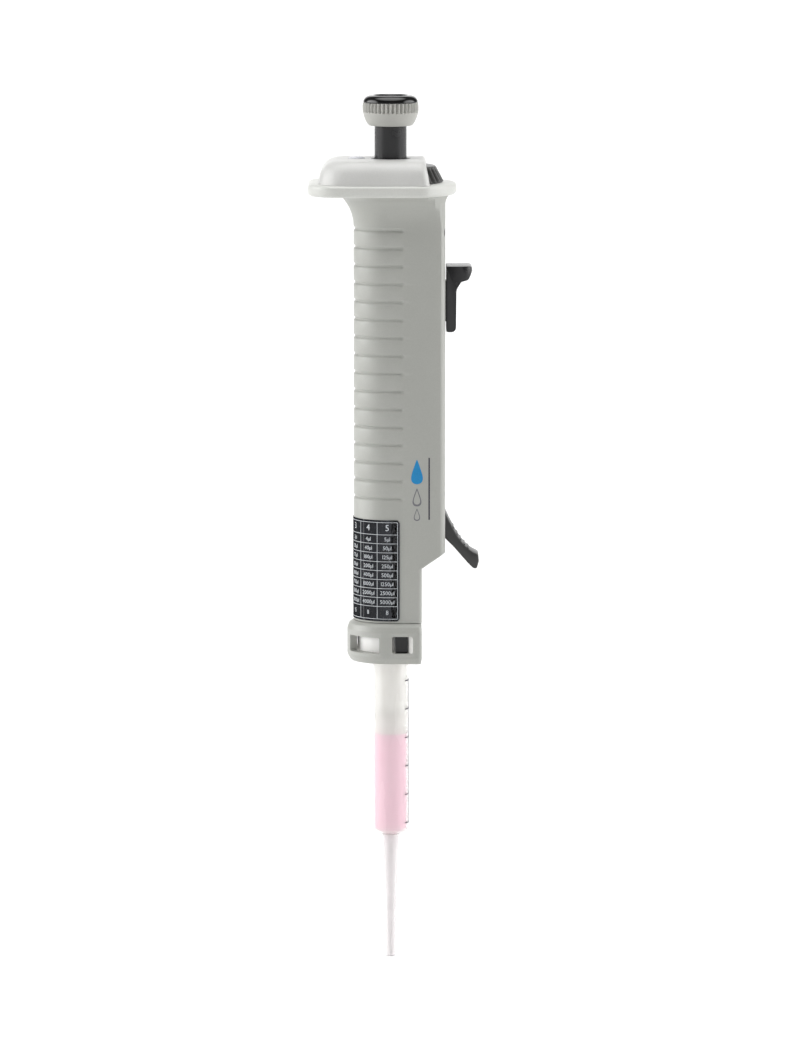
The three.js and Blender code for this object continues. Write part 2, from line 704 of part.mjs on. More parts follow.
const PLATE_R = BODY_R - WALL - 0.15;
const NOTCH_HALF_Y = TONGUE_HALF_Y + GAP;
const rackNotch = box(9.1, 14.4, -NOTCH_HALF_Y, NOTCH_HALF_Y, -20, -10).add(box(14, 17, -2.6, 2.6, -20, -10));
const upperBulkhead = prism(backRound(PLATE_R, 15.9, 0.6), -17.4, SKIRT_LOW_Z - 0.1)
  .subtract(disc(4.3, -20, -10))
  .subtract(rackNotch);
add("upper_bulkhead", upperBulkhead, whitePart);

const lowerBulkhead = prism(backRound(PLATE_R, 15.9, 0.6), -100, -98.4)
  .subtract(disc(6.4, -105, -95))
  .subtract(box(0, 14.4, -RACK_HALF_Y - 0.35, RACK_HALF_Y + 0.35, -105, -95));
add("lower_bulkhead", lowerBulkhead, whitePart);

// ---------------------------------------------------------------- carriage: rack, filling lever, chuck
const TOOTH_DEPTH = 0.7;
const TEETH = 50;
const TEETH_TOP_Z = -26.4;

function rack() {
  const teeth = Array.from({ length: TEETH }, (_, i) => TEETH_TOP_Z - i * UNIT_STEP).flatMap((z) => [
    at(RACK_BACK_X + TOOTH_DEPTH, z),
    at(RACK_BACK_X, z - 0.15),
    at(RACK_BACK_X, z - 0.4),
  ]);
  const side = [
    at(RACK_FRONT_X, RACK_LOW_Z),
    at(RACK_FRONT_X, RACK_TOP_Z),
    at(RACK_BACK_X + TOOTH_DEPTH, RACK_TOP_Z),
    ...teeth,
    at(RACK_BACK_X + TOOTH_DEPTH, TEETH_TOP_Z - TEETH * UNIT_STEP),
    at(RACK_BACK_X + TOOTH_DEPTH, RACK_LOW_Z),
  ];
  const tongues = box(11.3, 12.9, -TONGUE_HALF_Y, TONGUE_HALF_Y, -60, RACK_TOP_Z);
  const screws = [-31, -42].map((z) => pinX(0, z, 1.1, 11.5, 15));
  const toothed = slab(side, -RACK_HALF_Y, RACK_HALF_Y).add(tongues);
  return screws.reduce((made, hole) => made.subtract(hole), toothed);
}
add("rack", rack(), brass);

const FILL_HALF_Y = 7;
function fillLever() {
  const side = new THREE.Shape([at(19.4, -47.9), at(21.9, -47.8)]);
  side.quadraticCurveTo(22.7, -47.3, 22.9, -45.6);
  side.lineTo(22.9, -33.2);
  side.quadraticCurveTo(23.2, -30.2, 26.4, -29.7);
  side.quadraticCurveTo(27.8, -29.2, 28.5, -26.6);
  side.quadraticCurveTo(28.5, -25.1, 27.4, -24.9);
  side.lineTo(19.4, -24.9);
  const plate = slab(side.getPoints(4), -FILL_HALF_Y, FILL_HALF_Y);
  const stem = box(RACK_FRONT_X + SNUG, 19.6, -2.2, 2.2, -45, -28);
  const bores = [-31, -42].map((z) => pinX(0, z, 1.1, 13, 24).add(pinX(0, z, 2.1, 21.2, 30, 16)));
  return bores.reduce((made, hole) => made.subtract(hole), plate.add(stem));
}
add("fill_lever", fillLever(), black);

for (const [where, z] of [["upper", -31], ["lower", -42]]) {
  add(`fill_lever_screw_${where}`, pinX(0, z, 1.9, 21.3, 22.2, 16).add(pinX(0, z, 0.95, 11.7, 21.4)), steel);
}

const CHUCK_R = 5.2;
const CHUCK_LOW_Z = -118.6;
function chuckBody() {
  const arm = box(0, RACK_BACK_X + TOOTH_DEPTH - SNUG, -2.8, 2.8, RACK_LOW_Z, -90);
  return arm.add(disc(CHUCK_R, -108, -90, 24)).subtract(disc(3.9, -112, -106, 24));
}
add("chuck_body", chuckBody(), black);

function chuckJaw(side) {
  const shell = turned(
    [
      [2.3, CHUCK_LOW_Z],
      [5.0, CHUCK_LOW_Z],
      [5.0, -108.3],
      [3.95, -108.3],
      [3.95, -117.3],
      [2.3, -117.3],
      [2.3, CHUCK_LOW_Z],
    ],
    24,
  );
  const groove = ring(4.6, 6, -114, -112.6, 24);
  const half = side > 0 ? box(-6, 6, 0.35, 6, -120, -105) : box(-6, 6, -6, -0.35, -120, -105);
  return shell.subtract(groove).intersect(half);
}
add("chuck_jaw_left", chuckJaw(-1), steel);
add("chuck_jaw_right", chuckJaw(1), steel);
add("chuck_spring_ring", ring(4.7, 5.5, -113.9, -112.7, 24), steel);

// ---------------------------------------------------------------- clamp lever, link and latches
function clampLever() {
  const side = new THREE.Shape([at(13.4, -115.3), at(13.2, -112.2), at(15.2, -110.7), at(19.15, -110.7)]);
  side.splineThru([at(20.9, -114.4), at(23.1, -119.2), at(26.3, -123.2), at(29.6, -125.7)]);
  side.quadraticCurveTo(31.0, -126.6, 30.8, -128.6);
  side.quadraticCurveTo(30.4, -131.6, 29.0, -131.3);
  side.lineTo(19.1, -120.8);
  side.lineTo(16.5, -117.6);
  const blade = slab(side.getPoints(3), -LEVER_HALF_Y, LEVER_HALF_Y);
  const rackSpace = box(5, 17.2, -FORK_INNER_Y, FORK_INNER_Y, -130, -100);
  const armSide = [at(14.5, -115), at(8.2, -114.55), ...arc(8.0, PIVOT.z, 1.1, 270, 90, 6), at(14.5, -112)];
  const arm = slab(armSide, -LEVER_HALF_Y, LEVER_HALF_Y);
  return blade.add(arm).subtract(rackSpace).subtract(pinY(PIVOT.x, PIVOT.z, 1.25, -20, 20, 16));
}
add("clamp_lever", clampLever(), black);
add("clamp_lever_pin", pinY(PIVOT.x, PIVOT.z, 1.15, -11.0, 11.0, 16), steel);

// The link rises as the lever is pressed, and its wedges then push the latches apart.
const WEDGE_LOW_Z = -149.0;
const LINK_BAR_TOP_Z = -144.4;
function releaseLink() {
  const notch = box(6.6, 10, -10, 10, PIVOT.z - 1.9, PIVOT.z + 1.9);
  let made = box(6.2, 8.9, -8.9, 8.9, -146.6, LINK_BAR_TOP_Z);
  for (const side of [-1, 1]) {
    const legY = bySize(side * FORK_INNER_Y, side * LEVER_HALF_Y);
    const wedge = [
      at(8.2, WEDGE_LOW_Z),
      at(9.43, WEDGE_LOW_Z),
      at(8.98, LINK_BAR_TOP_Z),
      at(8.2, LINK_BAR_TOP_Z),
    ];
    made = made
      .add(box(5.9, 8.9, ...legY, -145.5, -110.5).subtract(notch))
      .add(bar(wedge.map((p) => at(side * p.x, p.y)), LATCH_X[0], 8.9));
  }
  return made;
}
add("release_link", releaseLink(), whitePart);

const leverSpring = coil(1.6, 0.45, -111.8, -100.15, 5, 8).translate([11.4, 5.2, 0]);
add("lever_spring", leverSpring, steel);

// Each latch hangs from its pin, passes the tip seat and hooks under the tip's collar.
function latch(side) {
  const { y, z } = LATCH_PIVOT;
  const outline = [
    at(y - 0.9, z + 1.1),
    at(y + 0.9, z + 1.1),
    at(y + 0.9, z - 1.0),
    at(y + 0.4, z - 1.6),
    at(y + 0.4, -151.6),
    at(13.0, -151.6),
    at(13.0, -161.8),
    at(11.0, -161.8),
    at(11.0, -160.6),
    at(11.9, -160.6),
    at(11.9, -152.8),
    at(9.6, -152.8),
    at(9.6, -147.0),
    at(9.2, -146.0),
    at(9.2, -145.0),
    at(9.6, -144.0),
    at(9.6, z - 1.8),
    at(y - 0.9, z - 1.2),
  ];
  const body = bar(outline.map((p) => at(side * p.x, p.y)), LATCH_X[0], LATCH_X[1]);
  return body.subtract(pinX(side * y, z, 0.55, 0, 9));
}
add("latch_left", latch(-1), black);
add("latch_right", latch(1), black);
for (const [side, y] of [["left", -LATCH_PIVOT.y], ["right", LATCH_PIVOT.y]]) {
  add(`latch_pin_${side}`, pinX(y, LATCH_PIVOT.z, 0.45, LATCH_X[0] - 1.2, LATCH_X[1] + 1.2), steel);
}

// The plate that the tip is pulled up against, notched for the latches.
function tipSeat() {
  const section = backRound(RING_INNER_R - 0.25, 7.9, 0.6);
  const plate = prism(section, -153.3, -151.8).subtract(disc(6.2, -156, -150));
  return [-1, 1].reduce((made, side) => {
    const notchY = bySize(side * 9.4, side * 14);
    return made.subtract(box(LATCH_X[0] - 0.4, LATCH_X[1] + 0.4, ...notchY, -156, -150));
  }, plate);
}
add("tip_seat", tipSeat(), black);

// ---------------------------------------------------------------- disposable syringe tip
const COLLAR = { r: 11.6, front: 7.7, innerR: 10.2, innerFront: 6.4, lowZ: -160.2, topZ: -153.6 };
function tipBarrel() {
  const tube = turned(
    [
      [BARREL_BORE_R, BARREL_TOP_Z],
      [BARREL_BORE_R, SHOULDER_Z + 0.7],
      [2.2, NOZZLE_TOP_Z + 0.3],
      [1.5, NOZZLE_TOP_Z - 12],
      [NOZZLE_BORE_R, NOZZLE_END_Z],
      [1.05, NOZZLE_END_Z],
      [1.4, NOZZLE_END_Z + 0.4],
      [1.55, NOZZLE_END_Z + 1.2],
      [1.6, NOZZLE_END_Z + 2.4],
      [2.04, NOZZLE_TOP_Z - 24.1],
      [2.55, NOZZLE_TOP_Z - 10.6],
      [3.0, NOZZLE_TOP_Z],
      [BARREL_R - 0.7, SHOULDER_Z - 0.9],
      [BARREL_R - 0.15, SHOULDER_Z - 0.4],
      [BARREL_R, SHOULDER_Z + 0.2],
      [BARREL_R, BARREL_TOP_Z],
      [BARREL_BORE_R, BARREL_TOP_Z],
    ],
    32,
  );
  // The latches hook under the collar.
  const { r, front, innerR, innerFront, lowZ, topZ } = COLLAR;
  const well = prism(backRound(innerR, innerFront, 0.6), lowZ + 1.6, topZ + 1);
  const collar = prism(backRound(r, front, 0.6), lowZ, topZ)
    .subtract(well.subtract(disc(BARREL_R - SNUG, lowZ, topZ + 2)))
    .subtract(disc(BARREL_BORE_R + GAP, lowZ - 1, topZ + 1));
  return tube.add(collar);
}
add("tip_barrel", tipBarrel(), tipPlastic);

const SEAL_TOP_Z = SEAL_LOW_Z + 6.3;
const sealProfile = [
  [0, SEAL_LOW_Z - 1.1],
  [1.2, SEAL_LOW_Z - 0.9],
  [4.9, SEAL_LOW_Z],
  [5.5, SEAL_LOW_Z + 0.3],
  [5.5, SEAL_LOW_Z + 1.5],
  [4.8, SEAL_LOW_Z + 2.1],
  [4.8, SEAL_TOP_Z - 1.8],
  [5.5, SEAL_TOP_Z - 1.2],
  [5.5, SEAL_TOP_Z],
  [0, SEAL_TOP_Z],
];
add("piston_seal", turned(sealProfile, 24), whitePart);

function pistonRod() {
  const wide = 3.4;
  const thin = 0.9;
  const cross = [
    at(wide, -thin), at(wide, thin), at(thin, thin), at(thin, wide), at(-thin, wide), at(-thin, thin),
    at(-wide, thin), at(-wide, -thin), at(-thin, -thin), at(-thin, -wide), at(thin, -wide), at(thin, -thin),
  ];
  const foot = disc(4.6, SEAL_TOP_Z + SNUG, SEAL_TOP_Z + 1.4, 24);
  const neck = disc(2.0, -120.5, -116, 20);
  const head = turned([[0, -117], [3.6, -117], [3.6, -113.4], [2.2, -111.8], [0, -111.8]], 24);
  return prism(cross, SEAL_TOP_Z + 1, -119.6).add(foot).add(neck).add(head);
}
add("piston_rod", pistonRod(), tipPlastic);

const LIQUID_R = BARREL_BORE_R - 0.1;
const liquid = turned(
  [
    [0, NOZZLE_TOP_Z + 0.5],
    [2.0, NOZZLE_TOP_Z + 0.5],
    [LIQUID_R, SHOULDER_Z + 0.95],
    [LIQUID_R, SEAL_LOW_Z - 0.4],
    [4.9, SEAL_LOW_Z - 0.45],
    [1.2, SEAL_LOW_Z - 1.3],
    [0, SEAL_LOW_Z - 1.4],
  ],
  32,
);
add("liquid", liquid, pink);

export default pipette;
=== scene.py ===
import json
import math
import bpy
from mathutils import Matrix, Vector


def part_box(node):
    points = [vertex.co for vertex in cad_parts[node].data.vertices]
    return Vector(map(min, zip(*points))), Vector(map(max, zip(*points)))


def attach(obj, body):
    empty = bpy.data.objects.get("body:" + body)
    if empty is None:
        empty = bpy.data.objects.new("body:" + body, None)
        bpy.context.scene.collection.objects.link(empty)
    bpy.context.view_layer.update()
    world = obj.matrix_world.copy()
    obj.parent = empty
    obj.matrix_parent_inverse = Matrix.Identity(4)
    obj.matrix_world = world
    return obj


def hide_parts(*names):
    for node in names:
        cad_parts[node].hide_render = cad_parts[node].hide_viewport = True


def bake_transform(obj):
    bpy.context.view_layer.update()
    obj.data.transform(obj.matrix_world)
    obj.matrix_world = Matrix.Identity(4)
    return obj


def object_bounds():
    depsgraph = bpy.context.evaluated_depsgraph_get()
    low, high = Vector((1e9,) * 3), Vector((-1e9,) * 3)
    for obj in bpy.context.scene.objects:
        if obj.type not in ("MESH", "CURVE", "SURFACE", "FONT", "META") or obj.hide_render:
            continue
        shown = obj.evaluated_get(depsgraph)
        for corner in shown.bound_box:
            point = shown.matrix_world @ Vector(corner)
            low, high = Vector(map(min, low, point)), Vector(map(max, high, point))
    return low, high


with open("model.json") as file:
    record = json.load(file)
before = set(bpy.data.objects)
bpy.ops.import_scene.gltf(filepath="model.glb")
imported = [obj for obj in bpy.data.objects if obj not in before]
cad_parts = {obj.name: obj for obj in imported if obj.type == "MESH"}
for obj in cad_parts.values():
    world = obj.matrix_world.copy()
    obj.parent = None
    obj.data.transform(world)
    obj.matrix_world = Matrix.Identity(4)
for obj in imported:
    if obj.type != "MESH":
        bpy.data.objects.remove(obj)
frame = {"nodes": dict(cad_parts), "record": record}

from types import SimpleNamespace

import bmesh
import bpy
from mathutils import Matrix, Vector

CAD_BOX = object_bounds()
MM = 0.001

# --- sizes, in millimetres


def span(node):
    """A CAD node's box in millimetres: its two ends and its middle."""
    low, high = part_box(node)
    box = SimpleNamespace(x0=low.x / MM, y0=low.y / MM, z0=low.z / MM)
    box.x1, box.y1, box.z1 = high.x / MM, high.y / MM, high.z / MM
    box.x, box.y, box.z = (box.x0 + box.x1) / 2, (box.y0 + box.y1) / 2, (box.z0 + box.z1) / 2
    return box


HOUSING = span("main_housing")
COVER = span("front_cover")
RING = span("tip_socket_ring")
REST = span("finger_rest")
DOME = span("head_cover")
BUSHING = span("button_bushing")
DIAL = span("stroke_dial")
SHAFT = span("button_shaft")
COLLAR = span("button_collar")
CAP = span("button_cap")
LABEL = span("volume_label")
BARREL = span("tip_barrel")
SEAL = span("piston_seal")
ROD = span("piston_rod")
LENS = span("dial_window")
FILL = span("fill_lever")
CLAMP = span("clamp_lever")

BODY_R = 12.9  # the housing's round back and half width
WALL = 1.8
SLANT_TOP_Z = -124.7
SLANT_LOW_Z = -130.4
LOWER_FRONT_X = RING.x1
SEAM_X = COVER.x0 - 0.05
GROOVES = 16
GROOVE_TOP_Z = -11.95
GROOVE_LOW_Z = -105.85
GROOVE_END_X = 4.7
BARREL_R = 6.3
BORE_R = 5.6
SHOULDER_Z = -224.3
NOZZLE_TOP_Z = -226.4
BARREL_TOP_Z = -154.2
TIP_COLLAR_LOW_Z = -160.2
TIP_COLLAR_TOP_Z = -153.6
TIP_COLLAR_FLOOR = 1.6
LENS_R = (LENS.x1 - LENS.x0) / 2
REST_FRONT_R = 26.0
REST_EDGE = 1.2
REST_FRONT_INSET = 1.3 * REST_EDGE
MARK_PITCH = 10.14
MARK_ZERO_Z = -221.9

# The studio's sheets of light: where each stands, the cosines of its outer and inner edge, its brightness.
SHEETS = (
    ((-1, 0, 0.15), 0.80, 0.95, 4.6),
    ((1, 0, 0.15), 0.80, 0.95, 3.8),
    ((0, 0, 1), 0.75, 0.95, 3.2),
    ((0, 1, 0.1), 0.85, 0.97, 1.2),
)
SHADE = 0.1

# --- mesh helpers


def placed(name, data):
    """A new object in the scene that holds the data."""
    obj = bpy.data.objects.new(name, data)
    bpy.context.scene.collection.objects.link(obj)
    return obj


def new_object(name, points, faces):
    """A mesh object from points in millimetres, its faces turned outwards."""
    mesh = bpy.data.meshes.new(name)
    mesh.from_pydata([(x * MM, y * MM, z * MM) for x, y, z in points], [], faces)
    work = bmesh.new()
    work.from_mesh(mesh)
    bmesh.ops.remove_doubles(work, verts=work.verts, dist=1e-7)
    bmesh.ops.recalc_face_normals(work, faces=work.faces)
    work.to_mesh(mesh)
    work.free()
    return placed(name, mesh)


def applied(obj):
    """The object with its modifiers applied."""
    graph = bpy.context.evaluated_depsgraph_get()
    mesh = bpy.data.meshes.new_from_object(obj.evaluated_get(graph))
    old = obj.data
    obj.modifiers.clear()
    obj.data = mesh
    bpy.data.meshes.remove(old)
    return obj


def combine(obj, other, how="DIFFERENCE"):
    """Cuts, joins or intersects obj with other, which is used up."""
    step = obj.modifiers.new(how, "BOOLEAN")
    step.operation = how
    step.solver = "EXACT"
    step.object = other
    applied(obj)
    bpy.data.objects.remove(other)
    return obj


def soften(obj, width, segments=2, angle=40):
    """Rounds every edge sharper than the angle."""
    step = obj.modifiers.new("soften", "BEVEL")
    step.width = width * MM
    step.segments = segments
    step.limit_method = "ANGLE"
    step.angle_limit = math.radians(angle)
    step.harden_normals = False
    return applied(obj)


def arc(cx, cy, r, start, end, steps):
    """Points on an arc, both ends included, angles in degrees."""
    angles = [math.radians(start + (end - start) * i / steps) for i in range(steps + 1)]
    return [(cx + r * math.cos(a), cy + r * math.sin(a)) for a in angles]


def fillet(corners, closed=True, steps=5):
    """A polyline with each corner (a, b, radius) rounded."""
    count = len(corners)
    points = []
    for i, (a, b, r) in enumerate(corners):
        here = Vector((a, b))
        if r <= 0 or (not closed and i in (0, count - 1)):
            points.append((a, b))
            continue
        before = Vector(corners[i - 1][:2]) - here
        after = Vector(corners[(i + 1) % count][:2]) - here
        half = before.angle(after) / 2
        reach = min(r / math.tan(half), 0.49 * before.length, 0.49 * after.length)
        r = reach * math.tan(half)
        before.normalize()
        after.normalize()
        centre = here + (before + after).normalized() * (r / math.sin(half))
        first = here + before * reach - centre
        turn = first.angle_signed(here + after * reach - centre)
        for k in range(steps + 1):
            angle = -turn * k / steps
            c, s = math.cos(angle), math.sin(angle)
            points.append((centre.x + first.x * c - first.y * s, centre.y + first.x * s + first.y * c))
    return points


def spline(a, b, c, d, t):
    """A smooth curve's value between b and c, with a and d on either side."""
    return 0.5 * (2 * b + (c - a) * t + (2 * a - 5 * b + 4 * c - d) * t**2 + (3 * b - a - 3 * c + d) * t**3)


def smooth_line(points, steps):
    """A smooth curve through the points, with the given steps between each two."""
    ends = [points[0], *points, points[-1]]
    made = []
    for group in zip(ends, ends[1:], ends[2:], ends[3:]):
        made += [tuple(spline(*values, k / steps) for values in zip(*group)) for k in range(steps)]
    return [*made, points[-1]]


def rounded(*corners, steps=5):
    """An open line with each corner between its ends rounded."""
    return fillet(corners, closed=False, steps=steps)


def circle(a, b, r, sides=24):
    return arc(a, b, r, 0, 360 - 360 / sides, sides - 1)


def at_height(outline, z):
    return [(x, y, z) for x, y in outline]


def rings_to_faces(count, rows, closed):
    """Quads between rows of count points; a closed skin joins the last row to the first."""
    faces = []
    for row in range(rows if closed else rows - 1):
        above = (row + 1) % rows
        for i in range(count):
            j = (i + 1) % count
            faces.append((row * count + i, row * count + j, above * count + j, above * count + i))
    return faces


def loft(name, rows, closed=False):
    """A skin through rows of points (x, y, z); an open one is capped at both ends."""
    count = len(rows[0])
    faces = rings_to_faces(count, len(rows), closed)
    if not closed:
        faces.append(tuple(range(count)))
        faces.append(tuple(range((len(rows) - 1) * count, len(rows) * count)))
    return new_object(name, [p for row in rows for p in row], faces)


def lathe(name, profile, segments=96, ripple=None, at=(0, 0)):
    """A profile of (radius, z) turned about Z. One that starts and ends on the axis closes there; another
    is a loop. ripple(r, z, angle) gives another radius."""
    solid = profile[0][0] < 1e-6 and profile[-1][0] < 1e-6
    rows = []
    for r, z in profile[1:-1] if solid else profile:
        row = []
        for i in range(segments):
            a = 2 * math.pi * i / segments
            here = ripple(r, z, a) if ripple else r
            row.append((at[0] + here * math.cos(a), at[1] + here * math.sin(a), z))
        rows.append(row)
    faces = rings_to_faces(segments, len(rows), not solid)
    points = [p for row in rows for p in row]
    if solid:
        for z, row in ((profile[0][1], 0), (profile[-1][1], len(rows) - 1)):
            points.append((at[0], at[1], z))
            hub, start = len(points) - 1, row * segments
            faces += [(hub, start + i, start + (i + 1) % segments) for i in range(segments)]
    return new_object(name, points, faces)


def extrude(name, outline, axis, low, high):
    """An outline swept along one axis: (x, z) along Y, (y, z) along X, or (x, y) along Z."""
    place = {
        "X": lambda a, b, c: (c, a, b),
        "Y": lambda a, b, c: (a, c, b),
        "Z": lambda a, b, c: (a, b, c),
    }[axis]
    return loft(name, [[place(a, b, c) for a, b in outline] for c in (low, high)])


def cylinder(r, low, high, segments=64, at=(0, 0)):
    return lathe("cylinder", [(0, low), (r, low), (r, high), (0, high)], segments, at=at)


def block(x0, x1, y0, y1, z0, z1):
    return extrude("block", [(x0, y0), (x1, y0), (x1, y1), (x0, y1)], "Z", z0, z1)


def stadium(a0, a1, b0, b1, r, steps=8):
    """A rectangle with round corners."""
    return fillet([(a0, b0, r), (a1, b0, r), (a1, b1, r), (a0, b1, r)], steps=steps)


def done(obj, body, material, slot, *nodes, angle=32):
    """Finishes a piece: shading, material, the body that it rides on and the CAD nodes that it stands for."""
    obj.data.materials.clear()
    obj.data.materials.append(material)
    obj.data.shade_smooth()
    obj.data.set_sharp_from_angle(angle=math.radians(angle))
    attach(obj, body)
    if nodes:
        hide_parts(*nodes)
    return obj


# --- materials


class Shader:
    """A material's nodes, and short ways to add to them."""

    def __init__(self, name):
        self.material = bpy.data.materials.new(name)
        self.material.use_nodes = True
        self.nodes = self.material.node_tree.nodes
        self.links = self.material.node_tree.links

    def put(self, name, value):
        """Sets one of the surface's inputs to a socket or a number."""
        target = self.nodes["Principled BSDF"].inputs[name]
        if isinstance(value, bpy.types.NodeSocket):
            self.links.new(value, target)
        else:
            target.default_value = value

    def noise(self, scale, detail, roughness=0.5, stretch=None):
        """Noise in the object's own space; scale is in features per metre."""
        source = self.nodes.new("ShaderNodeTexCoord").outputs["Object"]
        if stretch:
            mapping = self.nodes.new("ShaderNodeMapping")
            mapping.inputs["Scale"].default_value = stretch
            self.links.new(source, mapping.inputs["Vector"])
            source = mapping.outputs["Vector"]
        texture = self.nodes.new("ShaderNodeTexNoise")
        texture.inputs["Scale"].default_value = scale
        texture.inputs["Detail"].default_value = detail
        texture.inputs["Roughness"].default_value = roughness
        self.links.new(source, texture.inputs["Vector"])
        return texture.outputs["Fac"]

    def ramp(self, source, *stops):
        """Maps a factor to colours or greys at the given places."""
        node = self.nodes.new("ShaderNodeValToRGB")
        for element, (place, value) in zip(node.color_ramp.elements, stops):
            element.position = place
            element.color = (*value, 1) if hasattr(value, "__len__") else (value, value, value, 1)
        self.links.new(source, node.inputs["Fac"])
        return node.outputs["Color"]

    def blended(self, first, second, factor, mode="MIX"):
        """One colour over another; each is a socket or a colour, and the factor a socket or a number."""
        node = self.nodes.new("ShaderNodeMix")
        node.data_type = "RGBA"
        node.blend_type = mode
        for index, value in ((6, first), (7, second), (0, factor)):
            if isinstance(value, bpy.types.NodeSocket):
                self.links.new(value, node.inputs[index])
            else:
                node.inputs[index].default_value = (*value, 1) if index else value
        return node.outputs[2]

    def bumped(self, *layers):
        """Stacks bump layers (socket, height in millimetres)."""
        last = None
        for source, height in layers:
            node = self.nodes.new("ShaderNodeBump")
            node.inputs["Strength"].default_value = 1.0
            node.inputs["Distance"].default_value = height * MM
            self.links.new(source, node.inputs["Height"])
            if last:
                self.links.new(last, node.inputs["Normal"])
            last = node.outputs["Normal"]
        self.put("Normal", last)


def scaled(color, factor):
    return tuple(min(1.0, c * factor) for c in color)


def moulded(name, color, rough=0.42, grain=0.004, mottle=0.03, wear=0.1, gloss=0.5):
    """Moulded plastic: a fine spark-eroded grain, faint flow mottling, and edges rubbed lighter."""
    shade = Shader(name)
    flow = shade.noise(45, 2, stretch=(1, 1, 0.35))
    tone = shade.ramp(flow, (0.3, scaled(color, 1 - mottle)), (0.7, scaled(color, 1 + mottle)))
    specks = shade.ramp(shade.noise(2600, 1), (0.40, 0.965), (0.62, 1.0))
    tone = shade.blended(tone, specks, 1.0, "MULTIPLY")
    edges = shade.nodes.new("ShaderNodeNewGeometry").outputs["Pointiness"]
    rubbed = shade.ramp(edges, (0.50, 0.0), (0.56, wear))
    light = tuple(c + (1 - c) * 0.35 for c in color)
    shade.put("Base Color", shade.blended(tone, light, rubbed))
    shade.put("Roughness", shade.ramp(shade.noise(160, 4), (0.3, rough - 0.05), (0.75, rough + 0.07)))
    shade.put("Specular IOR Level", gloss)
    shade.bumped((shade.noise(60, 1), 0.05), (shade.noise(5200, 2, 0.6), grain))
    return shade.material


def polished(name, color, rough=0.08):
    """Gloss black plastic with faint handling haze and hairline scratches."""
    shade = Shader(name)
    haze = shade.noise(220, 5, 0.65)
    shade.put("Base Color", shade.ramp(haze, (0.35, color), (0.8, tuple(c + 0.006 for c in color))))
    scratch = shade.noise(900, 2, stretch=(1, 6, 1))
    shade.put("Roughness", shade.ramp(scratch, (0.45, rough), (0.8, rough + 0.10)))
    shade.bumped((scratch, 0.001), (shade.noise(90, 1), 0.02))
    return shade.material


def metal(name, color, rough=0.28, lay=(1, 1, 30)):
    """Machined metal with a fine directional lay and slight tarnish."""
    shade = Shader(name)
    shade.put("Base Color", shade.ramp(shade.noise(240, 5), (0.3, scaled(color, 0.82)), (0.7, color)))
    shade.put("Metallic", 1.0)
    lines = shade.noise(500, 3, stretch=lay)
    shade.put("Roughness", shade.ramp(lines, (0.3, rough - 0.08), (0.7, rough + 0.12)))
    shade.bumped((lines, 0.003))
    return shade.material


def translucent(name, color, rough, opacity, cloud=0.04):
    """Natural polypropylene or a tinted liquid: part of the light passes straight through, with faint
    clouding and flow lines."""
    shade = Shader(name)
    haze = shade.noise(130, 3, stretch=(1, 1, 0.25))
    shade.put("Base Color", shade.ramp(haze, (0.3, scaled(color, 1 - cloud)), (0.7, color)))
    shade.put("Roughness", shade.ramp(haze, (0.3, rough), (0.75, rough * 1.35)))
    shade.put("Alpha", shade.ramp(haze, (0.3, opacity * 0.94), (0.7, min(1.0, opacity * 1.06))))
    shade.bumped((shade.noise(90, 1, stretch=(1, 1, 0.3)), 0.01))
    return shade.material


def printed(name, color):
    """Screen-printed ink: slightly uneven and a little rougher than what it lies on."""
    shade = Shader(name)
    uneven = shade.noise(1800, 3)
    shade.put("Base Color", shade.ramp(uneven, (0.3, scaled(color, 0.86)), (0.6, color)))
    shade.put("Roughness", shade.ramp(uneven, (0.3, 0.42), (0.7, 0.55)))
    shade.bumped((uneven, 0.002))
    return shade.material


HOUSING_GREY = moulded("housing_grey", (0.375, 0.38, 0.353), rough=0.40, grain=0.004)
# The finger rest is the housing's plastic. This lighter copy of the housing grey is painted light: it stands
# for the top light that the rest's rim catches.
REST_GREY_PAINTED_LIGHT = moulded("rest_grey_painted_light", (0.575, 0.58, 0.55), rough=0.38, grain=0.004)
HEAD_GREY = moulded("head_grey", (0.55, 0.55, 0.535), rough=0.38, grain=0.003)
KNOB_GREY = moulded("knob_grey", (0.42, 0.418, 0.39), rough=0.40, grain=0.003)
BLACK = moulded(
    "black_plastic", (0.013, 0.013, 0.014), rough=0.24, grain=0.002, mottle=0.1, wear=0.02, gloss=0.35
)
LEVER_BLACK = moulded("lever_black", (0.025, 0.025, 0.024), rough=0.36, grain=0.004, mottle=0.1, wear=0.05)
RIBBED_BLACK = moulded("dial_black", (0.030, 0.030, 0.028), rough=0.34, grain=0.005, mottle=0.1, wear=0.05)
GLOSS_BLACK = polished("cap_black", (0.003, 0.003, 0.003), rough=0.04)
WHITE = moulded("inner_white", (0.80, 0.79, 0.76), rough=0.45, grain=0.003)
NAVY = polished("label_navy", (0.010, 0.013, 0.021), rough=0.22)
INK_LIGHT = printed("ink_light", (0.62, 0.65, 0.68))
INK_BLUE = printed("ink_blue", (0.0, 0.22, 0.50))
INK_GREY = printed("ink_grey", (0.16, 0.16, 0.18))
INK_DARK = printed("ink_dark", (0.035, 0.03, 0.05))
STEEL = metal("machined_steel", (0.56, 0.57, 0.58))
SCREW_STEEL = metal("screw_steel", (0.26, 0.26, 0.25), rough=0.38, lay=(1, 1, 4))
BRASS = metal("machined_brass", (0.66, 0.48, 0.22), rough=0.3)
CLEAR = translucent("lens_clear", (0.86, 0.87, 0.92), 0.06, 0.75, cloud=0.01)
TIP = translucent("tip_plastic", (0.93, 0.915, 0.88), 0.22, 0.36, cloud=0.01)
NOZZLE = translucent("tip_nozzle", (0.90, 0.865, 0.87), 0.22, 0.62, cloud=0.01)
MILKY = translucent("tip_milky", (0.96, 0.955, 0.935), 0.35, 0.92)
SEAL_WHITE = translucent("seal_plastic", (0.96, 0.92, 0.91), 0.3, 0.80)
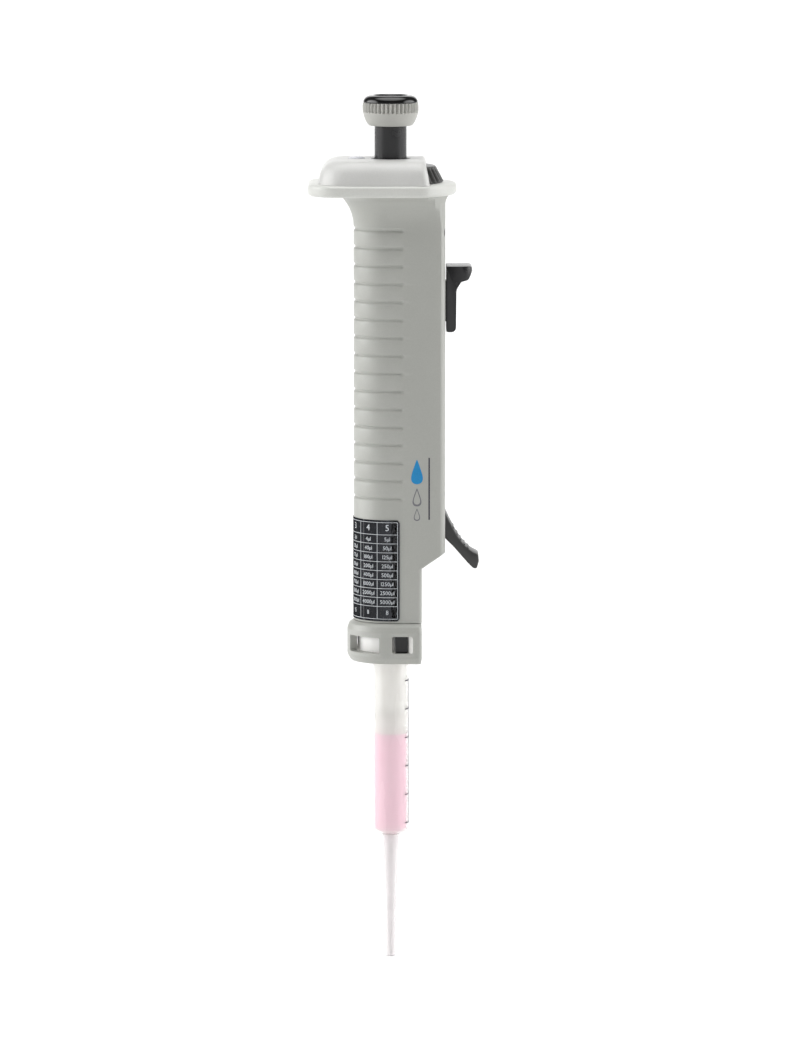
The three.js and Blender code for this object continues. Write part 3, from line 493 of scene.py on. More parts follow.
PINK = translucent("pink_liquid", (0.99, 0.55, 0.72), 0.06, 0.88, cloud=0.01)

SLOT_MATERIALS = {
    "housing": HOUSING_GREY,
    "head_shell": HEAD_GREY,
    "knob_grey": KNOB_GREY,
    "cap_black": GLOSS_BLACK,
    "black_plastic": BLACK,
    "white_plastic": WHITE,
    "label": NAVY,
    "lens": CLEAR,
    "tip_plastic": TIP,
    "seal_white": SEAL_WHITE,
    "liquid": PINK,
    "steel": STEEL,
    "brass": BRASS,
}

# --- housing


def d_outline(r, front, corner, inset=lambda x: 0.0, stops=()):
    """The housing's section (x, y): a half round back, flat sides and a flat front with round corners.
    inset(x) draws the surface in, and stops adds points along the flat sides."""
    stops = [min(x, front - corner - 0.01) for x in stops]
    half = [(x, r) for x in stops]
    upper = arc(front - corner, r - corner, corner, 0, 90, 6) + half
    back = arc(0, 0, r, 90, 270, 72)
    lower = [(x, -r) for x in reversed(stops)] + arc(front - corner, -r + corner, corner, -90, 0, 6)
    points = []
    for x, y in upper + back + lower:
        depth = inset(x)
        if x > 0:
            points.append((x, y - math.copysign(depth, y)))
        else:
            points.append((x * (1 - depth / r), y * (1 - depth / r)))
    return points


def slant_z(x):
    """Height of the slanted step under the upper housing."""
    return SLANT_LOW_Z + (SLANT_TOP_Z - SLANT_LOW_Z) * (x - LOWER_FRONT_X) / (COVER.x1 - LOWER_FRONT_X)


# The neck under the finger rest: height, spread at the back and sides, spread in front.
NECK = smooth_line(
    [(-13, 0, 0), (-11.5, 0.03, 0), (-10, 0.12, 0), (-8.2, 0.4, 0), (-6.1, 1.0, 0), (-3.9, 2.05, 0),
     (COVER.z1, 3.0, 0),
     (-1.6, 3.7, 0.2), (-0.9, 4.8, 0.5), (-0.4, 5.8, 0.8), (0.3, 6.6, 1.1)],
    4,
)
# Half of a groove's section, from its middle up: height and depth.
GROOVE_HALF = [(0.18, 0.5), (0.42, 0.3), (0.72, 0.06), (0.95, 0)]
GROOVE_SHAPE = [(-z, depth) for z, depth in reversed(GROOVE_HALF)] + GROOVE_HALF
SIDE_STOPS = (15.5, 13.0, 10.5, 8.0, GROOVE_END_X, 4.4, 4.0, 3.4, 2.0)


def groove_share(x):
    """Full depth round the back, fading out just before the groove's end."""
    t = max(0.0, min(1.0, (GROOVE_END_X - x) / 0.9))
    return t * t * (3 - 2 * t)


def neck_spread(z):
    """How far the neck stands out of the straight housing at a height."""
    for (z0, low, _), (z1, high, _) in zip(NECK, NECK[1:]):
        if z0 <= z <= z1:
            return low + (high - low) * (z - z0) / (z1 - z0)
    return 0.0


def under_rest(x, y, z, margin=0.0):
    """Keeps the front of the neck within the finger rest's curved edge, with a margin."""
    centre = REST.x1 - REST_FRONT_R
    limit = REST_FRONT_R - REST_FRONT_INSET - 0.1
    half = math.sqrt(max(0.0, limit**2 - (x - centre) ** 2)) - margin
    if x < 0 or abs(y) < half:
        return x, y, z
    return x, math.copysign(half, y), z


def housing_outside():
    rows = []

    def row(z, r, front, corner, depth=0.0):
        outline = d_outline(r, front, corner, lambda x: depth * groove_share(x), SIDE_STOPS)
        rows.append(at_height(outline, z))

    row(HOUSING.z0, BODY_R - 0.3, LOWER_FRONT_X - 0.3, 1.2)
    row(HOUSING.z0 + 0.3, BODY_R, LOWER_FRONT_X, 1.4)
    row(SLANT_LOW_Z - 0.5, BODY_R, LOWER_FRONT_X, 1.4)
    row(SLANT_LOW_Z, BODY_R, LOWER_FRONT_X, 1.1)
    row(slant_z(SEAM_X), BODY_R, SEAM_X, 0.3)
    pitch = (GROOVE_TOP_Z - GROOVE_LOW_Z) / (GROOVES - 1)
    for i in range(GROOVES):
        for dz, depth in GROOVE_SHAPE:
            z = GROOVE_LOW_Z + i * pitch + dz
            row(z, BODY_R + neck_spread(z), SEAM_X, 0.3, depth)
    top_of_grooves = rows[-1][0][2]
    for z, spread, _ in NECK:
        if top_of_grooves + 0.2 < z < COVER.z1 - 0.1:
            row(z, BODY_R + spread, SEAM_X, 0.3)
    row(COVER.z1 + 0.01, BODY_R + neck_spread(COVER.z1), SEAM_X, 0.3)
    row(COVER.z1 + 0.02, BODY_R + neck_spread(COVER.z1), COVER.x1, 2.5)
    for z, spread, reach in NECK:
        if z > COVER.z1 + 0.1:
            row(z, BODY_R + spread, COVER.x1 + reach, 2.5)
    return loft("housing", [[under_rest(*point) for point in line] for line in rows])


def housing_inside():
    """The space inside the housing, open below, above and towards the front cover."""
    inner = BODY_R - WALL
    beyond = COVER.x1 + 6
    floor_rise = 2.2
    lower_front = LOWER_FRONT_X - WALL
    rows = [
        (HOUSING.z0 - 1, inner, lower_front),
        (slant_z(lower_front) + floor_rise, inner, lower_front),
        (slant_z(SEAM_X) + floor_rise, inner, SEAM_X),
        (slant_z(SEAM_X) + floor_rise + 0.01, inner, beyond),
        (-11.0, inner, beyond),
        (COVER.z1, inner + 1.6, beyond),
        (COVER.z1 + 0.01, inner + 1.6, SEAM_X + 0.3),
        (HOUSING.z1 + 1, inner + 4.4, SEAM_X + 0.3),
    ]
    made = []
    for z, r, front in rows:
        outline = d_outline(r, front, 0.3, stops=(15.5, 13.0, 10.5, 8.0))
        clip = z > COVER.z1 - 5 and front < beyond
        made.append([under_rest(x, y, z, WALL) if clip else (x, y, z) for x, y in outline])
    return loft("inside", made)


def lever_slot():
    top = CLAMP.z1 + 1.0
    return soften(block(13.2, COVER.x1 + 4, -6.4, 6.4, SLANT_LOW_Z - 4, top), 1.2, 5)


def make_housing():
    shell = combine(housing_outside(), housing_inside())
    shell = combine(shell, lever_slot())
    done(shell, "root", HOUSING_GREY, "housing", "main_housing")


def make_cover():
    """The front plate with its rounded edges, the filling lever's slot and the clamp lever's slot."""
    face = COVER.x1
    corner = 2.5
    section = arc(face - corner, BODY_R - corner, corner, 90, 0, 12)
    outline = [(SEAM_X, BODY_R - 0.1)] + [p for p in section if p[0] > SEAM_X + 0.05]
    outline = outline + [(x, -y) for x, y in reversed(outline)]
    rows = [[(x, y, slant_z(x) + 0.02) for x, y in outline]]
    for z in [z for z, _, _ in NECK if z < COVER.z1 - 0.1] + [COVER.z1]:
        wide = 1 + neck_spread(z) / BODY_R
        rows.append([under_rest(x, y * wide, z) for x, y in outline])
    plate = loft("cover", rows)
    slot_low = FILL.z0 - 30.6
    slot_high = FILL.z1 + 16.8
    slot = extrude("slot", stadium(-2.6, 2.6, slot_low, slot_high, 2.5), "X", SEAM_X - 2, face + 2)
    plate = combine(plate, slot)
    plate = combine(plate, lever_slot())
    for name in ("upper_left", "upper_right", "lower_left", "lower_right"):
        screw = span(f"cover_screw_{name}")
        well = extrude("well", circle(screw.y, screw.z, 2.3), "X", face - 0.85, face + 1)
        bore = extrude("bore", circle(screw.y, screw.z, 1.3, 12), "X", SEAM_X - 2, face + 1)
        plate = combine(combine(plate, well), bore)
    done(soften(plate, 0.06, 2, 50), "root", HOUSING_GREY, "housing", "front_cover", angle=28)


def make_screw(node, head_r, depth, body):
    """A small cross-recessed screw whose head faces +X."""
    box = span(node)
    top = box.x1 - box.x0
    shape = [(0, 0), (0.9, 0), (0.9, top - depth), (head_r - 0.1, top - depth)]
    shape += rounded((head_r, top - depth + 0.1, 0), (head_r, top, 0.35), (0, top + 0.04, 0), steps=4)
    screw = lathe(node + "_head", shape, 40)
    for turn in (0, 1):
        a, b = (1.15, 0.24) if turn else (0.24, 1.15)
        recess = soften(block(-a, a, -b, b, top - 0.38, top + 1), 0.08, 1)
        screw = combine(screw, recess)
    place = Matrix.Translation((box.x0 * MM, box.y * MM, box.z * MM))
    screw.data.transform(place @ Matrix.Rotation(math.pi / 2, 4, "Y"))
    done(screw, body, SCREW_STEEL, "steel", node)


# --- finger rest and head


def rest_outline(inset, front_inset):
    """The finger rest's plan, drawn in from its edge: round back corners and an arc in front."""
    corner_r = 11.6
    soft = 4
    half = REST.y1 - inset
    cx = REST.x1 - REST_FRONT_R
    r = REST_FRONT_R - front_inset
    meet = math.degrees(math.asin(half / r))
    back = REST.x0 + corner_r
    arc_end = Vector(arc(cx, 0, r, meet - soft, meet, 1)[0])
    corner = Vector((cx + r * math.cos(math.radians(meet)), half))
    side = corner - Vector((2.2, 0))
    turn = [tuple(arc_end.lerp(corner, t).lerp(corner.lerp(side, t), t)) for t in (0.2, 0.4, 0.6, 0.8, 1.0)]
    return (
        arc(cx, 0, r, soft - meet, meet - soft, 36)
        + turn
        + arc(back, REST.y1 - corner_r, corner_r - inset, 90, 180, 20)
        + arc(back, -REST.y1 + corner_r, corner_r - inset, 180, 270, 20)
        + [(x, -y) for x, y in reversed(turn)]
    )


def make_finger_rest():
    """The plate under the head, its edge rounded, and its front edge drawn up into the neck below."""
    height = REST.z1 - REST.z0
    levels = []
    for angle in range(0, 91, 9):
        rise = REST_EDGE * (1 - math.cos(math.radians(angle)))
        inset = REST_EDGE * (1 - math.sin(math.radians(angle)))
        levels.append((rise, inset, inset * REST_FRONT_INSET / REST_EDGE))
    levels += [(height - rise, inset, inset) for rise, inset, _ in reversed(levels)]
    rows = [at_height(rest_outline(inset, front), REST.z0 + z) for z, inset, front in levels]
    rest = loft("finger_plate", rows)
    # Its lighter grey is painted light from above, not a different plastic.
    done(combine(rest, cylinder(7.7, -5, 8)), "root", REST_GREY_PAINTED_LIGHT, "housing", "finger_rest", angle=30)


def dome_outline(inset, front_inset):
    """The head's plan: round back corners, and a nearly square front."""
    half = DOME.y1 - inset
    corner = 10.5 - 0.6 * inset
    back = DOME.x0 + inset + corner
    front = DOME.x1 - front_inset
    small = 2.5
    return (
        arc(front - small, -half + small, small, -90, 0, 8)
        + arc(front - small, half - small, small, 0, 90, 8)
        + arc(back, half - corner, corner, 90, 180, 24)
        + arc(back, -half + corner, corner, 180, 270, 24)
    )


def make_head():
    """The domed head, hollow over the dial, with its holes for the button and the lens."""
    wall = 1.1
    levels = smooth_line(
        [(DOME.z0, 0.0, 0.0), (6.6, 0.6, 0.45), (8.8, 1.35, 0.9), (10.4, 2.4, 1.25), (11.4, 3.6, 1.5),
         (12.0, 4.9, 1.85), (12.3, 6.2, 2.4), (DOME.z1, 8.0, 3.6)],
        4,
    )
    outside = loft("head", [at_height(dome_outline(back, front), z) for z, back, front in levels])
    inner = [(DOME.z0 - 1, wall, wall)]
    inner += [(z - wall * 0.4, back + wall, front + wall) for z, back, front in levels if z < 11.2]
    hollow = loft("hollow", [at_height(dome_outline(back, front), z) for z, back, front in inner])
    head = combine(outside, hollow)
    dial_space = lathe("dial_space", [(0, 3.9), (DIAL.x1 + 0.45, 3.9), (16.05, 10.25), (0, 10.25)], 96)
    head = combine(head, dial_space)
    head = combine(head, cylinder(BUSHING.x1 + 0.1, 8, 15))
    head = combine(head, cylinder(LENS_R + 0.1, 8, 15, 48, at=(LENS.x, 0)))
    done(head, "root", HEAD_GREY, "head_shell", "head_cover", angle=30)


def make_bushing():
    """The black sleeve that the button's shaft slides in."""
    collar = fillet(
        [(SHAFT.x1 + 0.15, BUSHING.z0, 0), (BUSHING.x1, BUSHING.z0, 0), (BUSHING.x1, DOME.z1 - 0.02, 0),
         (BUSHING.x1 - 0.35, BUSHING.z1 + 0.1, 0.15), (SHAFT.x1 + 0.15, BUSHING.z1 + 0.1, 0.1)],
        steps=3,
    )
    done(lathe("bushing", collar, 64), "root", BLACK, "black_plastic", "button_bushing")


def make_lens():
    """The small lens over the dial's figures, with a domed top."""
    lens = [(0, LENS.z0), (LENS_R - 0.2, LENS.z0)]
    lens += rounded((LENS_R, LENS.z0 + 0.2, 0.1), (LENS_R, LENS.z1 - 0.75, 0.15), steps=3)
    for angle in range(5, 86, 8):
        a = math.radians(angle)
        lens.append((LENS_R * math.cos(a), LENS.z1 - 0.7 + 0.7 * math.sin(a)))
    lens.append((0, LENS.z1))
    done(lathe("lens", lens, 48, at=(LENS.x, 0)), "root", CLEAR, "lens", "dial_window")


def make_dial():
    """The ribbed cone, its ribs running down the slope."""
    ribs = 36
    inner = 6.4

    def ripple(r, z, angle):
        if r < inner + 1:
            return r
        share = min(1.0, max(0.0, (DIAL.z1 - 0.25 - z) / 0.8)) * min(1.0, max(0.0, (z - DIAL.z0 + 0.1) / 0.5))
        wave = 0.5 - 0.5 * math.cos(ribs * angle)
        return r - 1.1 * share * wave**1.3

    top_r = 15.75
    steps = 10
    slope = [
        (DIAL.x1 + (top_r - DIAL.x1) * i / steps, DIAL.z0 + 0.3 + (DIAL.z1 - 0.6 - DIAL.z0) * i / steps)
        for i in range(steps + 1)
    ]
    profile = [(inner, DIAL.z0), (DIAL.x1 - 0.3, DIAL.z0)] + slope
    profile += [(top_r - 0.2, DIAL.z1 - 0.1), (top_r - 0.5, DIAL.z1), (inner, DIAL.z1)]
    dial = lathe("dial", profile, ribs * 12, ripple)
    done(dial, "dial", RIBBED_BLACK, "black_plastic", "stroke_dial", angle=40)


def make_dial_figures():
    """The dial's settings, printed on its top."""
    figures = Print("dial_figures")
    for i in range(5):
        figures.text(str(i + 1), (0, 0), 3.6, dial_place(-LENS.x, 180 - 72 * i))
    done(figures.build(0.04), "dial", INK_LIGHT, "black_plastic")


# --- push button


def make_knob():
    """The button's knurled collar."""
    ribs = 40

    def knurl(r, z, angle):
        share = min(1.0, max(0.0, (z - 28.35) / 0.35)) * min(1.0, max(0.0, (COLLAR.z1 - 0.05 - z) / 0.15))
        wave = 0.5 - 0.5 * math.cos(ribs * angle)
        return r - 0.9 * share * wave**1.3 if r > 9 else r

    r = COLLAR.x1
    bore = SHAFT.x1 + 0.05
    outside = smooth_line(
        [(7.75, 24.1), (8.35, 24.9), (8.85, 25.9), (9.25, 27.0), (9.5, 27.9), (r - 0.1, 28.5), (r, 29.3),
         (r, 30.6), (r - 0.1, COLLAR.z1 - 0.15)],
        4,
    )
    profile = [(bore, COLLAR.z0 + 0.2), (bore + 0.2, COLLAR.z0), (7.2, COLLAR.z0), (7.5, COLLAR.z0 + 0.08)]
    profile += outside
    profile += [(r - 0.35, COLLAR.z1), (2, COLLAR.z1), (2, 30.2), (bore, 30.2)]
    knob = lathe("knob", profile, ribs * 12, knurl)
    done(knob, "button", KNOB_GREY, "knob_grey", "button_collar", angle=40)


def make_cap():
    """The gloss cap with its dished top."""
    low = CAP.z0
    top = CAP.z1
    dish = [(6.05, top - 0.12), (5.6, top - 0.42), (4.6, top - 0.85), (3.2, top - 1.15), (1.6, top - 1.32),
            (0, top - 1.38)]
    rim = [(9.35, low + 0.02), (9.5, low + 0.2), (9.42, low + 0.7), (9.05, low + 1.4), (8.4, low + 2.0),
           (7.6, low + 2.35), (6.9, top - 0.06), (6.4, top - 0.02)]
    profile = [(0, low), (9.2, low), *smooth_line(rim + dish, 3)[:-1], (0, top - 1.38)]
    done(lathe("cap", profile, 128), "button", GLOSS_BLACK, "cap_black", "button_cap", angle=45)


def make_shaft():
    """The button's hollow shaft."""
    inner = 4.5
    shaft = [(inner, SHAFT.z0 + 0.2), (SHAFT.x1 - 0.3, SHAFT.z0), (SHAFT.x1, SHAFT.z0 + 0.3)]
    shaft += [(SHAFT.x1, SHAFT.z1), (inner, SHAFT.z1)]
    done(lathe("shaft", shaft, 96), "button", BLACK, "black_plastic", "button_shaft")


# --- levers


def make_fill_lever():
    """The filling lever: a plate on the front with a thumb ledge at its top."""
    half = FILL.y1
    low = FILL.z0
    tip = FILL.x1
    face = 19.4
    side = fillet(
        [(face, low + 0.1, 0.5), (22.8, low, 1.7), (22.95, -33.0, 4.2), (24.6, -30.3, 1.5),
         (27.2, -29.6, 1.4), (tip + 0.1, -26.4, 0.8), (tip - 0.5, FILL.z1, 0.7), (face, FILL.z1, 0.3)],
        steps=8,
    )
    lever = extrude("lever", side, "Y", -half, half)
    plan = fillet([(18, -half, 0), (tip, -half, 3.4), (tip, half, 3.4), (18, half, 0)], steps=12)
    lever = combine(lever, extrude("plan", plan, "Z", low - 2, FILL.z1 + 2), "INTERSECT")
    lever = soften(lever, 0.45, 3, 45)
    lever = combine(lever, block(FILL.x0, face + 0.2, -2.2, 2.2, -44.5, -30.2), "UNION")
    for node in ("fill_lever_screw_upper", "fill_lever_screw_lower"):
        screw = span(node)
        for r, x in ((2.05, 21.2), (1.15, FILL.x0 - 1)):
            lever = combine(lever, extrude("well", circle(0, screw.z, r), "X", x, 40))
    done(lever, "carriage", BLACK, "black_plastic", "fill_lever", angle=30)
    make_screw("fill_lever_screw_upper", 1.85, 0.9, "carriage")
    make_screw("fill_lever_screw_lower", 1.85, 0.9, "carriage")


CLAMP_PIN = (15.0, -113.5)
RIDGE = ((-0.7, -0.5), (-0.45, 0.14), (0, 0.3), (0.45, 0.14), (0.7, -0.5))


def make_clamp_lever():
    """The clamp lever: a curved blade with grip ridges across its outer side, and the fork to its pin."""
    half = CLAMP.y1
    outer = smooth_line(
        [(18.2, -109.6), (19.3, -111.6), (20.6, -114.4), (22.2, -117.5), (24.0, -120.5), (26.2, -123.2),
         (28.2, -124.95), (29.8, -125.8)],
        5,
    )
    tip = rounded(
        (29.8, -125.8, 0), (30.75, -126.35, 0.8), (30.95, -128.4, 1.6), (30.2, -131.2, 0.9),
        (28.9, -131.0, 0.8), (27.6, -129.7, 0), steps=6,
    )
    inner = smooth_line(
        [(27.0, -129.1), (24.5, -126.25), (22.2, -123.6), (19.7, -121.1), (17.4, -118.6), (15.0, -116.2)], 2
    )
    hub = arc(*CLAMP_PIN, 2.6, 250, 95, 10)
    side = outer[3:-1] + tip[:-1] + inner + hub
    blade = extrude("blade", side, "Y", -half, half)
    blade = soften(blade, 0.5, 3, 50)
    gap = 3.6
    blade = combine(blade, block(5, 17.2, -gap, gap, -130, -100))
    arm = fillet(
        [(15, -115.1, 0), (8.2, -114.6, 0), (6.9, -113.5, 0.9), (8.2, -112.4, 0), (15, -111.9, 0)], steps=5
    )
    for side_y in ((-half, -gap), (gap, half)):
        blade = combine(blade, extrude("arm", arm, "Y", *side_y), "UNION")
    for ridge in range(5):
        x = 22.0 + 1.3 * ridge
        i = min(range(len(outer)), key=lambda k: abs(outer[k][0] - x))
        base = Vector(outer[i])
        ahead = (Vector(outer[i + 1]) - Vector(outer[i - 1])).normalized()
        out = Vector((-ahead.y, ahead.x))
        bar = [tuple(base + ahead * along + out * up) for along, up in RIDGE]
        rib = soften(extrude("rib", bar, "Y", -half + 0.7, half - 0.7), 0.18, 2, 25)
        blade = combine(blade, rib, "UNION")
    pin = extrude("bore", circle(*CLAMP_PIN, 1.25), "Y", -20, 20)
    done(combine(blade, pin), "clamp_lever", LEVER_BLACK, "black_plastic", "clamp_lever", angle=34)


# --- tip socket


BACK_WINDOW_Z = (-160.2, -154.4)
# The two steps of the pocket that each latch moves in: reach from the middle, low end, high end.
LATCH_POCKETS = ((14.5, -162.3, -152.6), (14.0, -153.6, -151.2))


def make_ring():
    """The socket ring with its two back windows and the square window over each latch."""
    inner_front = LOWER_FRONT_X - 2.8
    levels = rounded(
        (RING.z0, 2.6, 0), (RING.z0 + 0.15, 1.2, 0.8), (RING.z0 + 2.2, 0.0, 2.6), (-152.6, 0.0, 1.6),
        (-150.6, 0.75, 1.2), (RING.z1, 2.1, 0), steps=7,
    )
    rows = []
    for z, inset in levels:
        front = LOWER_FRONT_X - 0.25 * min(inset, 1.0)
        rows.append(at_height(d_outline(-RING.x0 - inset, front, 1.4, stops=(8.4, 4, 0.2)), z))
    outside = loft("ring", rows)
    well = extrude("well", d_outline(12.6, inner_front, 0.6), "Z", RING.z0 - 1, -151.6)
    mouth = extrude("mouth", d_outline(BODY_R - WALL, inner_front, 0.6), "Z", -152, RING.z1 + 1)
    ring = combine(combine(outside, well), mouth)
    for side in (-1, 1):
        wedge = [(0, 0)] + arc(0, 0, 20, 180 - side * 21, 180 - side * 75, 12)
        window = soften(extrude("window", wedge, "Z", *BACK_WINDOW_Z), 0.6, 4, 60)
        ring = combine(ring, window)
        inner = stadium(0.8, 5.6, -159.6, -154.4, 0.4)
        outer = stadium(0.4, 8.2, -160.1, -153.9, 0.9)
        stages = ((9, inner), (12.9, inner), (15.6, outer))
        rows = [[(x, side * y, z) for x, z in shape] for y, shape in stages]
        ring = combine(ring, loft("frame", rows))
        for reach, low, high in LATCH_POCKETS:
            y0, y1 = sorted((side * 9, side * reach))
            ring = combine(ring, block(1.2, 6.4, y0, y1, low, high))
    ring = soften(ring, 0.15, 2, 55)
    done(ring, "root", HOUSING_GREY, "housing", "tip_socket_ring", angle=30)
    # The slanted wall of each square window is painted white. This is a painted highlight that stands for the
    # light from the left falling on the grey ring's wall.
    ring.data.materials.append(WHITE)
    for face in ring.data.polygons:
        x, y, z = face.center / MM
        painted_highlight_face = face.normal.x < -0.4 and abs(face.normal.y) > 0.4
        if 5.4 < x < 8.4 and 12.8 < abs(y) < 15.3 and -160 < z < -154 and painted_highlight_face:
            face.material_index = 1


# --- printed matter


class Print:
    """Thin printed figures and lines, gathered into one mesh. A place function maps (u, v) to a point and a
    normal, both in millimetres."""

    glyphs = {}

    def __init__(self, name):
        self.name = name
        self.points = []
        self.normals = []
        self.faces = []

    @classmethod
    def glyph(cls, character):
        """A character's flat mesh: points, faces and width, for a text size of 1."""
        if character not in cls.glyphs:
            curve = bpy.data.curves.new("glyph", "FONT")
            curve.body = character
            curve.size = 1.0
            curve.resolution_u = 3
            holder = placed("glyph", curve)
            graph = bpy.context.evaluated_depsgraph_get()
            mesh = holder.evaluated_get(graph).to_mesh()
            points = [(v.co.x, v.co.y) for v in mesh.vertices]
            faces = [tuple(p.vertices) for p in mesh.polygons]
            holder.evaluated_get(graph).to_mesh_clear()
            bpy.data.objects.remove(holder)
            right = max((x for x, _ in points), default=0.3)
            left = min((x for x, _ in points), default=0.0)
            cls.glyphs[character] = (points, faces, left, right)
        return cls.glyphs[character]

    def text(self, words, middle, size, place):
        """Words centred on middle (u, v)."""
        gap = 0.09
        widths = [self.glyph(c)[3] - self.glyph(c)[2] for c in words]
        start = middle[0] - size * (sum(widths) + gap * (len(words) - 1)) / 2
        for character, width in zip(words, widths):
            points, faces, left, _ = self.glyph(character)
            flat = [(start + size * (x - left), middle[1] + size * (y - 0.35)) for x, y in points]
            self.patch(flat, faces, place)
            start += size * (width + gap)

    def patch(self, flat, faces, place):
        base = len(self.points)
        for u, v in flat:
            point, normal = place(u, v)
            self.points.append(point)
            self.normals.append(normal)
        self.faces += [tuple(base + i for i in face) for face in faces]

    def strip(self, u0, u1, v0, v1, place, step=0.8):
        """A filled rectangle, divided along u and v so that it can follow a curved surface."""
        across = max(1, math.ceil((u1 - u0) / step))
        flat = [(u0 + (u1 - u0) * i / across, v) for i in range(across + 1) for v in (v0, v1)]
        faces = [(2 * i, 2 * i + 2, 2 * i + 3, 2 * i + 1) for i in range(across)]
        self.patch(flat, faces, place)

    def build(self, thickness):
        """One closed mesh per patch, raised by thickness from the surface."""
        work = bmesh.new()
        low = [work.verts.new(p * MM) for p in self.points]
        high = [work.verts.new((p + n * thickness) * MM) for p, n in zip(self.points, self.normals)]
        edges = {}
        for face in self.faces:
            work.faces.new([high[i] for i in face])
            work.faces.new([low[i] for i in reversed(face)])
            for a, b in zip(face, face[1:] + face[:1]):
                edges[(a, b)] = True
        for a, b in edges:
            if (b, a) not in edges:
                work.faces.new([low[a], low[b], high[b], high[a]])
        bmesh.ops.recalc_face_normals(work, faces=work.faces)
        mesh = bpy.data.meshes.new(self.name)
        work.to_mesh(mesh)
        work.free()
        return placed(self.name, mesh)


def dial_place(radius, angle):
    """Figures on the dial's top, read from in front with the dial turned to bring them under the lens."""

    def place(u, v):
        a = math.radians(angle)
        out = Vector((math.cos(a), math.sin(a), 0))
        side = Vector((-math.sin(a), math.cos(a), 0))
        return out * (radius - v) + side * u + Vector((0, 0, DIAL.z1 + 0.005)), Vector((0, 0, 1))

    return place


LABEL_EDGE = 3.2
LABEL_R = LABEL.y1
LABEL_LENGTH = 2 * LABEL_EDGE + math.pi * LABEL_R


def label_place(lift):
    """Maps (u, v) onto the label: u reads from its far edge round the back to its near edge, v is height."""

    def place(u, v):
        r = LABEL_R + lift
        if u < LABEL_EDGE:
            return Vector((LABEL_EDGE - u, r, v)), Vector((0, 1, 0))
        if u > LABEL_LENGTH - LABEL_EDGE:
            return Vector((u - LABEL_LENGTH + LABEL_EDGE, -r, v)), Vector((0, -1, 0))
        a = math.pi / 2 + (u - LABEL_EDGE) / LABEL_R
        out = Vector((math.cos(a), math.sin(a), 0))
        return out * r + Vector((0, 0, v)), out

    return place


TIP_SIZES = ("0.05", "0.5", "1.25", "2.5", "5", "12.5", "25", "50")
UNIT_VOLUMES = (1, 10, 25, 50, 100, 250, 500, 1000)
STEP_COUNTS = (45, 22, 15, 11, 8)


def make_label_sheet():
    """The dark sheet, with round corners, that wraps round the back."""
    top, low = LABEL.z1, LABEL.z0
    sheet = Print("label_sheet")
    round_corner = 1.0
    columns = 80
    for i in range(columns):
        u0 = LABEL_LENGTH * i / columns
        u1 = LABEL_LENGTH * (i + 1) / columns
        cut = [max(0.0, round_corner - min(u, LABEL_LENGTH - u)) for u in (u0, u1)]
        trim = [round_corner - math.sqrt(max(0.0, round_corner**2 - c**2)) for c in cut]
        flat = [(u0, low + trim[0]), (u1, low + trim[1]), (u1, top - trim[1]), (u0, top - trim[0])]
        sheet.patch(flat, [(0, 1, 2, 3)], label_place(-0.2))
    body = sheet.build(0.2)
    weld = bmesh.new()
    weld.from_mesh(body.data)
    bmesh.ops.remove_doubles(weld, verts=weld.verts, dist=1e-7)
    doubled = [f for f in weld.faces if abs(f.normal.z) < 0.1 and f.calc_area() < 1e-12]
    bmesh.ops.delete(weld, geom=doubled, context="FACES")
    weld.to_mesh(body.data)
    weld.free()
    done(body, "root", NAVY, "label", "volume_label")


def make_label_table():
    """The table printed on the sheet: the volume for each tip size and dial setting."""
    top, low = LABEL.z1, LABEL.z0
    table = Print("label_table")
    place = label_place(0.01)
    border = 0.8
    header_row = 5.1
    row_height = 3.16
    column = 7.2
    header_column = LABEL_LENGTH - 2 * border - 5 * column
    left, right = border, LABEL_LENGTH - border
    line = 0.16
    verticals = [left + header_column + column * i for i in range(5)]
    horizontals = [top - header_row - row_height * i for i in range(9)]
    for z in (*horizontals, low + border, top - border):
        table.strip(left, right, z - line / 2, z + line / 2, place)
    for u in (*verticals, left, right):
        table.strip(u - line / 2, u + line / 2, low + border, top - border, place)
    middles = [left + header_column / 2] + [u + column / 2 for u in verticals]
    for i in range(5):
        table.text(str(i + 1), (middles[i + 1], top - header_row / 2 - 0.1), 3.1, place)
    for row, (size, unit) in enumerate(zip(TIP_SIZES, UNIT_VOLUMES)):
        z = horizontals[row] - row_height / 2
        table.text(size + "ml", (middles[0], z), 2.0, place)
        for i in range(5):
            table.text(f"{unit * (i + 1)}µl", (middles[i + 1], z), 1.9, place)
    z = (horizontals[8] + low + border) / 2 + 0.1
    for i, steps in enumerate(STEP_COUNTS):
        table.text(str(steps), (middles[i + 1], z), 2.1, place)
    done(table.build(0.02), "root", INK_LIGHT, "label")


def side_place(u, v):
    """The flat side towards -Y."""
    return Vector((u, -BODY_R - 0.005, v)), Vector((0, -1, 0))


def drop_outline(x, z, width, height, steps=28):
    """A falling drop: a round foot drawn up to a point."""
    points = []
    r = width / 2
    for i in range(steps):
        a = 2 * math.pi * i / steps
        along = math.cos(a)
        pull = 0.5 * (1 + along)
        across = r * math.sin(a) * (1 - 0.75 * pull**1.6)
        points.append((x + across, z - height / 2 + r + along * r + pull**2.2 * (height - 2 * r)))
    return points


def band_faces(count):
    """Faces of a band between two outlines of count points each."""
    return [(i, (i + 1) % count, count + (i + 1) % count, count + i) for i in range(count)]


